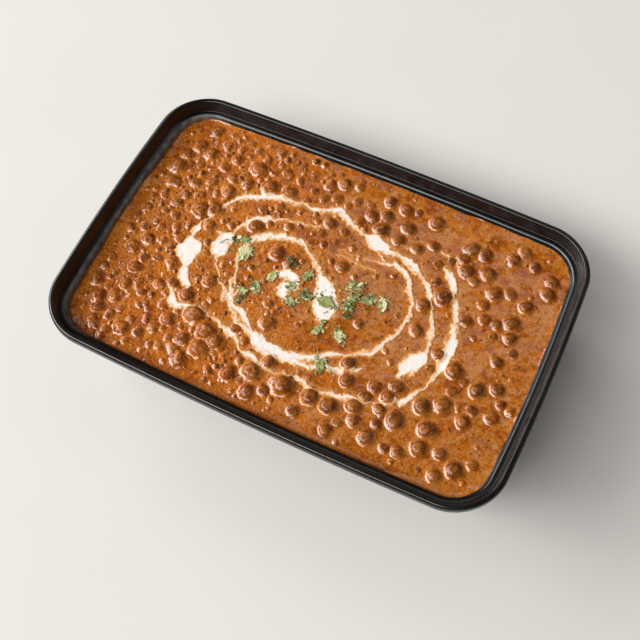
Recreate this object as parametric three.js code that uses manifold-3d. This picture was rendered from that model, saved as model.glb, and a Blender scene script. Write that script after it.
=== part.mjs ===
// Dal makhani in its rectangular takeaway tub: the tub, the stew filled to just under the
// lid ledge with lentils and poured cream standing out of it, and chopped coriander on top.
// Millimetres, +Z up, +X along the tub. The origin is the middle of the tub's underside.
import * as THREE from 'three';
import { mergeVertices } from 'three/addons/utils/BufferGeometryUtils.js';
import Module from 'manifold-3d';

const wasm = await Module();
wasm.setup();

// ---- Tub ----
const TUB_LENGTH = 172;
const TUB_WIDTH = 113.6;
const TUB_HEIGHT = 40;
const CORNER_RADIUS = 17.3; // at the outer edge of the rim
const END_BOW = 1.9; // how far each short side swells past its corners
const SIDE_BOW = 1.5; // the same for each long side
const LIP_WIDTH = 2;
const LIP_DEPTH = 3.4; // height of the solid lip round the rim
const STEP_INSET = 3.2; // foot of the short wall inside the lip
const LEDGE_DEPTH = 4.5; // from the rim down to the lid ledge
const LEDGE_INSET = 4.4; // inner edge of the flat of the ledge
const LEDGE_ROUND = 1.5; // rounding from the ledge into the wall
const WALL = 0.8;
const WALL_SLOPE = 0.2; // inset gained for each millimetre down the wall
const WALL_INSET = LEDGE_INSET + LEDGE_ROUND - 0.2; // inner face just under the ledge
const FLOOR_THICKNESS = 1;
const FLOOR_ROUND = 4.2; // inside, between wall and floor
const CORNER_STEPS = 6;
const LONG_SIDE_STEPS = 6;
const SHORT_SIDE_STEPS = 4;
const CORNER_TIGHTEN = 0.45; // how quickly corners tighten down the wall

// ---- Stew ----
const GAP = 0.3; // clearance between touching pieces
const FINEST_DETAIL = 0.01; // slivers flatter than this are merged away
const FILL_DEPTH = 7.2; // from the rim down to the stew
const FILL_LEVEL = TUB_HEIGHT - FILL_DEPTH;
const SWELL = 0.25; // slow rise and fall of the surface
const EDGE_CLIMB = 0.9; // the stew clings higher along the far wall
const EDGE_CLIMB_FROM = 40;
const EDGE_CLIMB_TO = 49;
const SURFACE_RINGS = [0.93, 0.78, 0.56, 0.3];

// ---- Lentils ----
const LENTIL_COUNT = 190;
const LENTIL_TOTAL = 290; // sizes are spread over this many, largest first
const LENTIL_LARGEST = 7.2;
const LENTIL_SMALLEST = 3.6;
const LENTIL_SPACING = 0.8; // of the sum of two radii
const LENTIL_RISE_LOW = 0.14; // top above the surface, as a share of the radius
const LENTIL_RISE_HIGH = 0.62;
const PLAIN_POWER = 0.4; // the plainest lentils stand out nearly as far as any
const THICK_POWER = 1.4; // more are nearly hidden where the stew is thick, towards -X
const SMOOTH_POWER = 0.8;
const LENTIL_FLATNESS = 0.95; // height over width of a whole lentil
const LENTIL_SIDES = 7;
const LENTIL_SEED = 20417;
const LENTIL_TRIES = 30000;
const FIELD_HALF_LENGTH = 78;
const FIELD_HALF_WIDTH = 49;
const FIELD_CORNER = 13;
const SWIRL_HALF_LENGTH = 52; // inside this oval lentils are sparse
const SWIRL_HALF_WIDTH = 34;
const SPARSE_SHARE = 0.16;
const THIN_SHARE = 0.5; // towards +X fewer lentils stand out of a smoother stew
const THIN_FROM = -25;
const THIN_TO = 25;
const LOOSE_SHARE = 0.3; // share of the lentils tried that stay between the clumps

// The plainest lentils: x, y and width.
const LARGE_LENTILS = [
  [-35.8, -27.3, 8.4], [-28.6, -31.2, 7.2], [-27.4, -38.2, 8.2], [-41.6, -21.6, 6.6],
  [4.6, -38, 7.6], [21.8, -37.8, 7.2], [29.6, -34.4, 6.6], [44, -33.2, 8],
  [55, -31.6, 7.2], [18.4, 36.6, 7.4], [40.8, 16, 6.6], [35.6, 10.4, 5.6],
  [-8.4, 26.6, 7.4], [-43.4, 36.6, 7.4], [51.4, 31, 6.8], [24.6, 30.2, 5.6],
  [57, 14, 6.2], [54.8, -8.4, 6.6], [-17.2, -8, 5.6], [-11, -19.2, 6],
  [-37.2, -13, 5.6], [3.4, 12.2, 5.6], [15.8, 9.4, 5.2], [-20.2, 7.4, 5.8],
];

// ---- Cream ----
const CREAM_HEIGHT = 0.5;
const CREAM_ROOT = 0.8; // how deep the strokes reach into the stew
const CREAM_STEP = 6; // length of one facet along a stroke
const CREAM_CHUNK = 7; // facets joined into one short length
const CREAM_TRACE_STEP = 1.5; // spacing of the points that tell where cream lies
const CREAM_CLEARANCE = 1; // bare stew between a lentil's middle and the cream

// Poured strokes, from the middle outwards: x, y and width along each.
const CREAM_STROKES = [
  [
    [5.2, -9.2, 3.4], [5.2, -5, 8.8], [3, 0, 7.8], [0.2, 3.6, 4.4], [-4, 7, 1.6],
    [-14, 14.8, 2], [-24, 13.8, 2.6], [-30.4, 9.4, 2.2], [-32.6, 0, 1.4],
    [-29.4, -9.5, 1.2], [-27.6, -16, 2.8], [-20.6, -20, 3], [-14, -24.2, 1.7],
    [-9, -27, 4.6], [0, -27.2, 4], [8, -24.4, 2.8], [14.6, -20.8, 2.2], [21, -17.2, 1.1],
    [27, -13.4, 2.2], [31.2, -4.4, 1.6], [32.8, 4.6, 1.7], [29.6, 12.6, 1.8],
    [24, 19.6, 2.4], [13, 19.6, 1.1],
  ],
  [
    [-11, 23.4, 0.9], [-24, 21, 1.1], [-33.6, 17, 2.6], [-38.6, 10.6, 1.4],
    [-39.6, 7.6, 1.7], [-40.6, 4.2, 6], [-40.9, 0, 6.2], [-39.4, -3.8, 1.3],
    [-31, -14, 1.2], [-21.6, -22.3, 1.4], [-10, -27, 3], [2, -28.4, 2.6], [15, -26, 2.3],
    [26, -21, 1.3],
  ],
  [
    [38.8, -17.6, 2.4], [41.4, -11.4, 6.2], [43.2, -5, 1.3], [42.6, 1.6, 2.1],
    [39, 11, 1.3], [35.4, 16, 2.9], [31, 20, 1.5], [25.4, 23.2, 2.8], [18, 24.6, 1.6],
    [10.4, 26.6, 5.2], [5, 27.8, 1.5], [-1, 29.4, 2.1], [-8, 32.8, 2.8], [-12.4, 31, 1.6],
    [-15.4, 30, 2.6], [-20, 29.6, 1.2], [-28, 29, 2.3], [-37, 26.4, 2.8],
    [-44.4, 21.6, 2.1], [-49, 12.4, 1.1], [-51, 7.4, 1.2], [-52, 3.2, 3.4],
    [-51.8, 0.2, 1.4], [-50.6, -4.4, 8], [-48.6, -8.4, 5.2], [-48.4, -10.8, 2.4],
    [-46.8, -15, 4.4], [-43.2, -18.4, 1.2],
  ],
  [
    [-47.6, -21.8, 1.8], [-46, -25, 3.4], [-41.6, -26.2, 2.6], [-36.6, -24.2, 1.4],
    [-28, -25.6, 1], [-21, -28, 2.3], [-14.4, -31.6, 1.3], [-10.4, -32.9, 3.2],
    [-5, -34.3, 1.1], [5, -33.8, 1], [9, -33.5, 1.9], [16, -34.6, 0.9], [23.4, -33, 2],
    [35, -30.6, 1], [43.4, -25.6, 2.5], [48, -18, 1.3], [50.4, -10, 2.6],
    [50.6, -1.4, 4.2], [48.6, 7.6, 1.5], [46.4, 14.2, 2.6], [44.6, 17.8, 1.4],
    [41.8, 22.4, 3.5], [37.4, 27, 1.6],
  ],
  [
    [-17.4, -0.6, 1.6], [-12.6, 0.6, 4.8], [-8.8, -0.8, 4.4], [-11.8, -5.4, 3.8],
    [-8, -7.6, 2.4],
  ],
];

// ---- Coriander ----
const LEAF_THICKNESS = 0.4;
const LEAF_POINTS = 10;
const LEAF_WAVE = 0.22; // height of the waves in a leaf
const LOBE_DEPTH = 0.12; // lobes and cuts, as shares of half the leaf
const CUT_DEPTH = 0.14;
const LEAF_SEED = 7;
const FLAKE_HEIGHT = 0.55;

// Chopped leaves: x, y, length, width and the turn of the length from +X in degrees.
const LEAVES = [
  [4.2, -3.5, 8.6, 4.8, -4], [-31, 2.4, 6.2, 5.4, 70], [-33.6, 7.4, 4.6, 3, 20],
  [-21.2, -8.6, 4.8, 3.8, -50], [-24.6, -11.6, 4.2, 2.8, 15], [-9.8, -3.4, 4.6, 3.2, 40],
  [-7.2, -8.2, 4.4, 3, -20], [-3.4, -3.4, 5.2, 3.6, 10], [-6.2, 3.6, 4.8, 2.8, 75],
  [-18, -2, 4.4, 3.4, 60], [11, 6.8, 5.8, 3.2, -10], [12.4, 2.2, 5, 3.6, 25],
  [18, 4.2, 5.4, 4, 80], [22.6, 4.4, 5, 3.4, -40], [12.2, -2, 4.8, 3, -15],
  [6.6, -13.4, 5.6, 3, 80], [14, -12.8, 4.8, 3.6, -35], [12.6, -25.2, 6, 4, -55],
];

// Smaller scraps, part of the stew: x, y and width.
const FLAKES = [
  [-41.2, 2.6, 1.8], [-36.6, 5.6, 2.4], [-27.4, -8.4, 2.2], [-13, 6.2, 2.6],
  [-12.4, -9, 1.8], [-1.4, -8.6, 2.4], [8.4, 4.2, 2], [15.8, -3.4, 2.4],
  [7.4, -18, 2.8], [10.2, -20.6, 2.2], [-24.2, -15, 2.2], [17, 8, 1.8],
];

const materials = {
  tub: new THREE.MeshStandardMaterial({ color: '#1b1b1d', roughness: 0.38, metalness: 0 }),
  stew: new THREE.MeshStandardMaterial({ color: '#9c5a26', roughness: 0.3, metalness: 0 }),
  coriander: new THREE.MeshStandardMaterial({ color: '#7f9152', roughness: 0.6, metalness: 0 }),
};

// A repeatable stream of numbers from 0 to 1.
function randomSource(seed) {
  let state = seed >>> 0;
  return () => {
    state = (Math.imul(state, 1664525) + 1013904223) >>> 0;
    return state / 4294967296;
  };
}

function smoothstep(low, high, value) {
  const t = Math.min(Math.max((value - low) / (high - low), 0), 1);
  return t * t * (3 - 2 * t);
}

// ---- Outline and loft ----

// Corner radius of the tub's outline at an inset from the rim's outer edge.
function cornerRadius(inset) {
  const rim = Math.min(inset, WALL_INSET);
  return CORNER_RADIUS - rim - CORNER_TIGHTEN * (inset - rim);
}

// The tub's plan outline, inset and anticlockwise from above, at a height.
function outline(inset, z) {
  const halfLength = TUB_LENGTH / 2 - END_BOW - inset;
  const halfWidth = TUB_WIDTH / 2 - SIDE_BOW - inset;
  const radius = cornerRadius(inset);
  const centres = [[1, 1], [-1, 1], [-1, -1], [1, -1]];
  const points = [];
  centres.forEach(([signX, signY], corner) => {
    const x = signX * (halfLength - radius);
    const y = signY * (halfWidth - radius);
    for (let step = 0; step <= CORNER_STEPS; step += 1) {
      const angle = (corner + step / CORNER_STEPS) * Math.PI / 2;
      points.push([x + radius * Math.cos(angle), y + radius * Math.sin(angle)]);
    }
    const alongX = corner % 2 === 0;
    const steps = alongX ? LONG_SIDE_STEPS : SHORT_SIDE_STEPS;
    const reach = alongX ? halfLength - radius : halfWidth - radius;
    for (let step = 1; step < steps; step += 1) {
      const along = reach * (1 - 2 * step / steps);
      points.push(alongX ? [signY * along, signY * halfWidth] : [signX * halfLength, -signX * along]);
    }
  });
  return points.map(([x, y]) => new THREE.Vector3(
    x * (1 + (END_BOW / halfLength) * (1 - (y / halfWidth) ** 2)),
    y * (1 + (SIDE_BOW / halfWidth) * (1 - (x / halfLength) ** 2)),
    z,
  ));
}

// Closed geometry through rings of equal count, with a point closing each end.
function loft(firstPole, rings, lastPole) {
  const count = rings[0].length;
  const vertices = [firstPole, ...rings.flat(), lastPole];
  const indices = [];
  const at = (ring, step) => 1 + ring * count + step % count;
  for (let step = 0; step < count; step += 1) {
    indices.push(0, at(0, step + 1), at(0, step));
    for (let ring = 0; ring < rings.length - 1; ring += 1) {
      indices.push(at(ring, step), at(ring, step + 1), at(ring + 1, step + 1));
      indices.push(at(ring, step), at(ring + 1, step + 1), at(ring + 1, step));
    }
    indices.push(at(rings.length - 1, step), at(rings.length - 1, step + 1), vertices.length - 1);
  }
  const geometry = new THREE.BufferGeometry().setFromPoints(vertices);
  geometry.setIndex(indices);
  return geometry;
}

function solidOf(geometry) {
  const bare = geometry.clone();
  bare.deleteAttribute('normal');
  bare.deleteAttribute('uv');
  const merged = mergeVertices(bare, 1e-4);
  return new wasm.Manifold(new wasm.Mesh({
    numProp: 3,
    vertProperties: merged.attributes.position.array,
    triVerts: new Uint32Array(merged.index.array),
  }));
}

function geometryOf(solid) {
  const { numProp, vertProperties, triVerts } = solid.getMesh();
  const geometry = new THREE.BufferGeometry();
  geometry.setAttribute('position', new THREE.BufferAttribute(vertProperties, numProp));
  geometry.setIndex(new THREE.BufferAttribute(triVerts, 1));
  return geometry;
}

// ---- Tub ----

// Inset of the wall's inner face at a height.
function innerInset(z) {
  return WALL_INSET + WALL_SLOPE * (TUB_HEIGHT - LEDGE_DEPTH - LEDGE_ROUND - z);
}

// Inset and height round a quarter turn from a wall into a flat below it.
function bottomRound(inset, z, radius, steps) {
  const points = [];
  for (let step = 0; step <= steps; step += 1) {
    const angle = step / steps * Math.PI / 2;
    points.push([inset + radius * (1 - Math.cos(angle)), z + radius * (1 - Math.sin(angle))]);
  }
  return points;
}

function tubGeometry() {
  const ledge = TUB_HEIGHT - LEDGE_DEPTH;
  const outerRound = FLOOR_ROUND + WALL;
  const outside = bottomRound(innerInset(outerRound) - WALL, 0, outerRound, 4).reverse();
  const wallTop = ledge - WALL - 0.4;
  const rim = [
    [innerInset(wallTop) - WALL, wallTop],
    [STEP_INSET + 0.4, ledge - WALL],
    [STEP_INSET - WALL, ledge - WALL + 0.2],
    [LIP_WIDTH - 0.1, TUB_HEIGHT - LIP_DEPTH],
    [0.2, TUB_HEIGHT - LIP_DEPTH],
    [0, TUB_HEIGHT - LIP_DEPTH + 0.3],
    [0, TUB_HEIGHT - 0.8],
    [0.25, TUB_HEIGHT - 0.25],
    [0.8, TUB_HEIGHT],
    [LIP_WIDTH - 0.6, TUB_HEIGHT],
    [LIP_WIDTH, TUB_HEIGHT - 0.4],
    [STEP_INSET - 0.2, ledge + 0.25],
    [STEP_INSET + 0.1, ledge],
    [LEDGE_INSET, ledge - 0.05],
    [LEDGE_INSET + 0.6 * LEDGE_ROUND, ledge - 0.35 * LEDGE_ROUND],
    [WALL_INSET, ledge - LEDGE_ROUND],
  ];
  const floorTop = FLOOR_THICKNESS + FLOOR_ROUND;
  const inside = bottomRound(innerInset(floorTop), FLOOR_THICKNESS, FLOOR_ROUND, 4);
  const rings = [...outside, ...rim, ...inside].map(([inset, z]) => outline(inset, z));
  return loft(new THREE.Vector3(0, 0, 0), rings, new THREE.Vector3(0, 0, FLOOR_THICKNESS));
}

// ---- Stew ----

// Height of the stew's bare surface.
function surfaceHeight(x, y) {
  const waves = Math.sin(x / 13 + 0.7) * Math.cos(y / 11 - 0.4) + 0.6 * Math.sin(x / 7.5 - y / 9);
  return FILL_LEVEL + SWELL * waves + EDGE_CLIMB * smoothstep(EDGE_CLIMB_FROM, EDGE_CLIMB_TO, y);
}

function stewGeometry() {
  const floor = FLOOR_THICKNESS + GAP;
  const sideInset = (z) => innerInset(z) + GAP;
  const side = bottomRound(sideInset(floor + FLOOR_ROUND), floor, FLOOR_ROUND, 3).reverse();
  const rings = side.map(([inset, z]) => outline(inset, z));
  const edge = outline(sideInset(FILL_LEVEL), FILL_LEVEL);
  edge.forEach((point) => point.setZ(surfaceHeight(point.x, point.y)));
  rings.push(edge);
  for (const scale of SURFACE_RINGS) {
    rings.push(edge.map(({ x, y }) => (
      new THREE.Vector3(x * scale, y * scale, surfaceHeight(x * scale, y * scale))
    )));
  }
  return loft(new THREE.Vector3(0, 0, floor), rings, new THREE.Vector3(0, 0, surfaceHeight(0, 0)));
}

// How far inside the lentils' field a point lies, negative outside it.
function fieldMargin(x, y) {
  const dx = Math.abs(x) - (FIELD_HALF_LENGTH - FIELD_CORNER);
  const dy = Math.abs(y) - (FIELD_HALF_WIDTH - FIELD_CORNER);
  const outside = Math.hypot(Math.max(dx, 0), Math.max(dy, 0));
  return FIELD_CORNER - outside - Math.min(Math.max(dx, dy), 0);
}

// How closely lentils crowd together at a point, from 0 to 1.
function clumping(x, y) {
  const waves = Math.sin(x / 6.3 + 1.1) * Math.cos(y / 5.1) + 0.6 * Math.sin((x - y) / 4.3);
  return smoothstep(-0.35, 0.45, waves);
}

// Share of the lentils tried at a point that stay there.
function lentilShare(x, y) {
  const reach = Math.hypot(x / SWIRL_HALF_LENGTH, y / SWIRL_HALF_WIDTH);
  const outer = SPARSE_SHARE + (1 - SPARSE_SHARE) * smoothstep(0.78, 1.08, reach);
  const thinned = outer * (1 - (1 - THIN_SHARE) * smoothstep(THIN_FROM, THIN_TO, x));
  return thinned * (LOOSE_SHARE + (1 - LOOSE_SHARE) * clumping(x, y));
}

function strokeCurves() {
  return CREAM_STROKES.map((stroke) => (
    new THREE.CatmullRomCurve3(stroke.map(([x, y, width]) => new THREE.Vector3(x, y, width)))
  ));
}

// Samples a given length apart along every stroke, each a place and a width.
function creamSamples(spacing) {
  return strokeCurves().map((curve) => (
    curve.getSpacedPoints(Math.ceil(curve.getLength() / spacing))
  ));
}

const creamTrace = creamSamples(CREAM_TRACE_STEP).flat();

function touchesCream(x, y, reach) {
  return creamTrace.some((point) => Math.hypot(point.x - x, point.y - y) < point.z / 2 + reach);
}

function touchesLeaf(x, y, radius) {
  return LEAVES.some(([leafX, leafY, length]) => (
    Math.hypot(leafX - x, leafY - y) < length / 2 + radius + GAP
  ));
}

// Places and widths of the lentils, the largest first.
function scatterLentils() {
  const random = randomSource(LENTIL_SEED);
  const spots = LARGE_LENTILS.map(([x, y, width]) => ({ x, y, width, plain: true }));
  for (let tries = 0; tries < LENTIL_TRIES && spots.length < LENTIL_COUNT; tries += 1) {
    const share = spots.length / LENTIL_TOTAL;
    const width = LENTIL_LARGEST + (LENTIL_SMALLEST - LENTIL_LARGEST) * share;
    const x = (2 * random() - 1) * FIELD_HALF_LENGTH;
    const y = (2 * random() - 1) * FIELD_HALF_WIDTH;
    const stays = random() < lentilShare(x, y);
    const crowded = spots.some((spot) => (
      Math.hypot(spot.x - x, spot.y - y) < LENTIL_SPACING * (spot.width + width) / 2
    ));
    const free = fieldMargin(x, y) > width / 2 && !touchesCream(x, y, CREAM_CLEARANCE);
    if (stays && !crowded && free) spots.push({ x, y, width });
  }
  return spots.filter(({ x, y, width }) => !touchesLeaf(x, y, width / 2));
}

// How far a lentil stands out, as a share of its radius.
function lentilRise(x, plain, draw) {
  const smooth = smoothstep(THIN_FROM, THIN_TO, x);
  const power = plain ? PLAIN_POWER : THICK_POWER + (SMOOTH_POWER - THICK_POWER) * smooth;
  return LENTIL_RISE_LOW + (LENTIL_RISE_HIGH - LENTIL_RISE_LOW) * draw ** power;
}

// One whole lentil sunk in the surface so that only its top stands out.
function lentilGeometry({ x, y, width, plain = false }, random) {
  const radius = width / 2;
  const height = LENTIL_FLATNESS * radius;
  const geometry = new THREE.SphereGeometry(1, LENTIL_SIDES, 4);
  geometry.rotateX(Math.PI / 2);
  geometry.scale(radius * (0.94 + 0.12 * random()), radius * (0.94 + 0.12 * random()), height);
  geometry.rotateZ(random() * Math.PI);
  const rise = lentilRise(x, plain, random()) * radius;
  geometry.translate(x, y, surfaceHeight(x, y) + rise - height);
  return geometry;
}

// A short length of a cream stroke, with its crest above the surface.
function strokeGeometry(points) {
  const rings = points.map((point, i) => {
    const before = points[Math.max(i - 1, 0)];
    const after = points[Math.min(i + 1, points.length - 1)];
    const along = new THREE.Vector3(after.x - before.x, after.y - before.y, 0).normalize();
    const across = new THREE.Vector3(-along.y, along.x, 0);
    const half = 0.58 * point.z;
    const section = [
      [half, -0.2], [half / 2, CREAM_HEIGHT], [-half / 2, CREAM_HEIGHT], [-half, -0.2],
      [0, -CREAM_ROOT],
    ];
    return section.map(([side, height]) => {
      const x = point.x + across.x * side;
      const y = point.y + across.y * side;
      return new THREE.Vector3(x, y, surfaceHeight(x, y) + height);
    });
  });
  const middle = (ring) => (
    ring.reduce((sum, point) => sum.add(point), new THREE.Vector3()).divideScalar(ring.length)
  );
  return loft(middle(rings[0]), rings, middle(rings[rings.length - 1]));
}

function creamGeometries() {
  const pieces = [];
  for (const points of creamSamples(CREAM_STEP)) {
    for (let start = 0; start < points.length - 1; start += CREAM_CHUNK) {
      pieces.push(strokeGeometry(points.slice(start, start + CREAM_CHUNK + 1)));
    }
  }
  return pieces;
}

function flakeGeometry([x, y, width], random) {
  const geometry = new THREE.OctahedronGeometry(width / 2, 0);
  geometry.scale(1, 0.7, 2 * FLAKE_HEIGHT / width);
  geometry.rotateZ(random() * Math.PI);
  geometry.translate(x, y, surfaceHeight(x, y) + CREAM_HEIGHT / 2);
  return geometry;
}

// The stew with its lentils, cream and small scraps joined into one solid.
function dalGeometry() {
  const random = randomSource(LENTIL_SEED + 1);
  let solid = solidOf(stewGeometry());
  for (const spot of scatterLentils()) {
    solid = solid.add(solidOf(lentilGeometry(spot, random)));
  }
  for (const piece of creamGeometries()) {
    solid = solid.add(solidOf(piece));
  }
  for (const flake of FLAKES) {
    solid = solid.add(solidOf(flakeGeometry(flake, random)));
  }
  return geometryOf(solid.asOriginal().simplify(FINEST_DETAIL));
}

// ---- Coriander ----

// Outline of a chopped leaf about its own middle, lobed and cut unevenly.
function leafOutline(length, width, turn, random) {
  const phase = random() * Math.PI * 2;
  const points = [];
  for (let step = 0; step < LEAF_POINTS; step += 1) {
    const angle = step / LEAF_POINTS * Math.PI * 2;
    const lobe = 1 + LOBE_DEPTH * Math.cos(3 * angle + phase) - CUT_DEPTH * random();
    const along = lobe * Math.cos(angle) * length / 2;
    const across = lobe * Math.sin(angle) * width / 2;
    points.push([
      along * Math.cos(turn) - across * Math.sin(turn),
      along * Math.sin(turn) + across * Math.cos(turn),
    ]);
  }
  return points;
}

// A thin wavy leaf lying on the stew, both faces split alike.
function leafGeometry([x, y, length, width, degrees], base, random) {
  const points = leafOutline(length, width, THREE.MathUtils.degToRad(degrees), random);
  const phase = random() * Math.PI * 2;
  const place = ([dx, dy], scale, lift) => {
    const wave = 1 + Math.sin(2.2 * dx * scale + phase) * Math.cos(1.7 * dy * scale);
    return new THREE.Vector3(x + dx * scale, y + dy * scale, base + LEAF_WAVE * wave + lift);
  };
  const ring = (scale, lift) => points.map((point) => place(point, scale, lift));
  const top = LEAF_THICKNESS;
  return loft(place([0, 0], 0, 0), [ring(0.55, 0), ring(1, 0), ring(1, top), ring(0.55, top)],
    place([0, 0], 0, top));
}

// Height of the stew and cream that a leaf of this reach lies on.
function restHeight(x, y, reach) {
  let highest = -Infinity;
  for (let angle = 0; angle < 360; angle += 30) {
    const turn = THREE.MathUtils.degToRad(angle);
    highest = Math.max(highest, surfaceHeight(x + reach * Math.cos(turn), y + reach * Math.sin(turn)));
  }
  return highest + (touchesCream(x, y, reach) ? CREAM_HEIGHT : 0) + GAP;
}

function mesh(name, geometry, material) {
  const piece = new THREE.Mesh(geometry, material);
  piece.name = name;
  return piece;
}

function coriander() {
  const group = new THREE.Group();
  const random = randomSource(LEAF_SEED);
  LEAVES.forEach((leaf, index) => {
    const [x, y, length] = leaf;
    const geometry = leafGeometry(leaf, restHeight(x, y, length / 2), random);
    const name = `coriander_${String(index + 1).padStart(2, '0')}`;
    group.add(mesh(name, geometry, materials.coriander));
  });
  return group;
}

const dish = new THREE.Group();
dish.add(mesh('tub', tubGeometry(), materials.tub));
dish.add(mesh('dal', dalGeometry(), materials.stew));
dish.add(coriander());

export default dish;
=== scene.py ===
"""Dal makhani in its rectangular takeaway tub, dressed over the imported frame.

Sizes are in millimetres and become metres where a mesh is made; lamps and camera are in metres.
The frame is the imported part's: +Z up, +X along the tub, its origin the middle of the underside.
"""

import logging
import math
from dataclasses import dataclass, field
from enum import Enum

import bpy
import numpy as np
from mathutils import Matrix


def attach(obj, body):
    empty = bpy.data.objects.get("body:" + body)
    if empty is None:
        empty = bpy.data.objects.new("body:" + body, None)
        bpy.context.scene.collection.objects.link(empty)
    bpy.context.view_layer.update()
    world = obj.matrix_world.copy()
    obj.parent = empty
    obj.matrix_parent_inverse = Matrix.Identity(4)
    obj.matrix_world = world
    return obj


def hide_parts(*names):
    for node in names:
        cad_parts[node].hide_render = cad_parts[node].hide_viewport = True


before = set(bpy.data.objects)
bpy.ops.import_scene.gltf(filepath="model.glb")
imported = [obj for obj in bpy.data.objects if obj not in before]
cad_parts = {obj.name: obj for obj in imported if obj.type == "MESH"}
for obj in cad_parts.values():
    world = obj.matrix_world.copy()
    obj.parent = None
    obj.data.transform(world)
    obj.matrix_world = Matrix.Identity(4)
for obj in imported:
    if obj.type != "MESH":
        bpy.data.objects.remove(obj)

LOG = logging.getLogger("dal_makhani")
MM = 0.001
Array = np.ndarray
Pair = tuple[float, float]
Triple = tuple[float, float, float]
Colour = Triple
Piece = bpy.types.Object
Socket = bpy.types.NodeSocket
Material = bpy.types.Material
Tree = bpy.types.NodeTree


class Slot(Enum):
    """The record's material slots."""

    TUB = "tub"
    STEW = "stew"
    CREAM = "cream"
    CORIANDER = "coriander"


class Spread(Enum):
    """How densely small things lie over the stew."""

    EVEN = "even"
    GRAINY = "grainy"


# ---- Numbers ----


def smoothstep(low: float, high: float, value: Array) -> Array:
    """Return a smooth rise from 0 at low to 1 at high, which may be below low."""
    share = np.clip((value - low) / (high - low), 0.0, 1.0)
    return share * share * (3.0 - 2.0 * share)


def rounded_margin(x: Array, y: Array, half_sizes: tuple, radius: float) -> Array:
    """Return how far each place is inside a rounded rectangle, below 0 outside it."""
    dx = np.abs(x) - (half_sizes[0] - radius)
    dy = np.abs(y) - (half_sizes[1] - radius)
    outside = np.hypot(np.maximum(dx, 0), np.maximum(dy, 0))
    return radius - outside - np.minimum(np.maximum(dx, dy), 0)


@dataclass(frozen=True)
class Waves:
    """Smooth even waves: two that cross, with their starts, and a slanting one."""

    long: float
    wide: float
    slant_x: float
    slant_y: float
    start_x: float
    start_y: float
    slant_share: float = 0.6

    def at(self, x: Array, y: Array) -> Array:
        """Return their height at each place."""
        crossed = np.sin(x / self.long + self.start_x) * np.cos(y / self.wide + self.start_y)
        return crossed + self.slant_share * np.sin(x / self.slant_x - y / self.slant_y)


class RandomStream:
    """A repeatable stream of numbers from 0 to 1, the same one that the solids use."""

    FACTOR = 1664525
    STEP = 1013904223
    SPAN = 2 ** 32

    def __init__(self, seed: int) -> None:
        """Start the stream at a seed."""
        self._state = seed

    def next(self) -> float:
        """Return the next number."""
        self._state = (self._state * self.FACTOR + self.STEP) % self.SPAN
        return self._state / self.SPAN

    def between(self, low: float, high: float) -> float:
        """Return the next number, stretched to run from low to high."""
        return low + (high - low) * self.next()


class Ripple:
    """Smooth random relief from -1 to 1, one value to each cell of a lattice."""

    CELLS = 128
    SHIFT = 1000.0

    def __init__(self, seed: int, cell: float) -> None:
        """Draw the lattice from a seed and take the width of a cell."""
        self._values = np.random.default_rng(seed).uniform(-1.0, 1.0, (self.CELLS, self.CELLS))
        self._cell = cell

    def at(self, x: Array, y: Array) -> Array:
        """Return the relief at each place.

        Args:
            x: Places along the tub.
            y: Places across it.

        Returns:
            Values from -1 to 1.
        """
        u = x / self._cell + self.SHIFT
        v = y / self._cell + self.SHIFT
        column = np.floor(u).astype(int)
        row = np.floor(v).astype(int)
        s = smoothstep(0.0, 1.0, u - column)
        t = smoothstep(0.0, 1.0, v - row)
        left = column % self.CELLS
        right = (column + 1) % self.CELLS
        near = row % self.CELLS
        far = (row + 1) % self.CELLS
        low = self._values[left, near] * (1 - s) + self._values[right, near] * s
        high = self._values[left, far] * (1 - s) + self._values[right, far] * s
        return low * (1 - t) + high * t


class Nearby:
    """Finds which of many places lie near a point."""

    def __init__(self, x: Array, y: Array) -> None:
        """Sort the places by y."""
        self._order = np.argsort(y, kind="stable")
        self.x = x
        self.y = y
        self._sorted_x = x[self._order]
        self._sorted_y = y[self._order]

    def within(self, x: float, y: float, reach: float) -> Array:
        """Return the numbers of the places less than reach away along both axes."""
        low = np.searchsorted(self._sorted_y, y - reach)
        high = np.searchsorted(self._sorted_y, y + reach)
        near = np.flatnonzero(np.abs(self._sorted_x[low:high] - x) < reach)
        return self._order[low:high][near]


# ---- Meshes ----


def add_object(name: str, data: bpy.types.ID) -> Piece:
    """Put an object that holds a mesh, a lamp or a camera in the scene."""
    thing = bpy.data.objects.new(name, data)
    bpy.context.scene.collection.objects.link(thing)
    return thing


def make_piece(name: str, points: Array, faces: list, edges: list | None = None) -> Piece:
    """Make a mesh object, shaded smooth, and put it in the scene.

    Args:
        name: Name of the piece.
        points: Its points, one row each.
        faces: Point numbers of each face, anticlockwise from outside.
        edges: Pairs of points joined by a line of their own.

    Returns:
        The object, at the origin.
    """
    mesh = bpy.data.meshes.new(name)
    mesh.from_pydata((np.asarray(points) * MM).tolist(), edges or [], faces)
    mesh.polygons.foreach_set("use_smooth", [True] * len(mesh.polygons))
    mesh.update()
    return add_object(name, mesh)


def paint(piece: Piece, name: str, values: Array) -> None:
    """Store a number or a vector for each point of a piece, for its nodes to read."""
    given = np.asarray(values, dtype=np.float32)
    kind, key = ("FLOAT", "value") if given.ndim == 1 else ("FLOAT_VECTOR", "vector")
    layer = piece.data.attributes.new(name, kind, "POINT")
    layer.data.foreach_set(key, given.ravel())


def dress(piece: Piece, material: Material) -> None:
    """Give a piece its finish and its body."""
    piece.data.materials.clear()
    piece.data.materials.append(material)
    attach(piece, "root")


def grid_faces(rows: int, columns: int) -> Array:
    """Return the four corners of each cell of a grid whose points are numbered row by row."""
    corner = (np.arange(rows - 1)[:, None] * columns + np.arange(columns - 1)).ravel()
    return np.column_stack((corner, corner + 1, corner + columns + 1, corner + columns))


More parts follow.
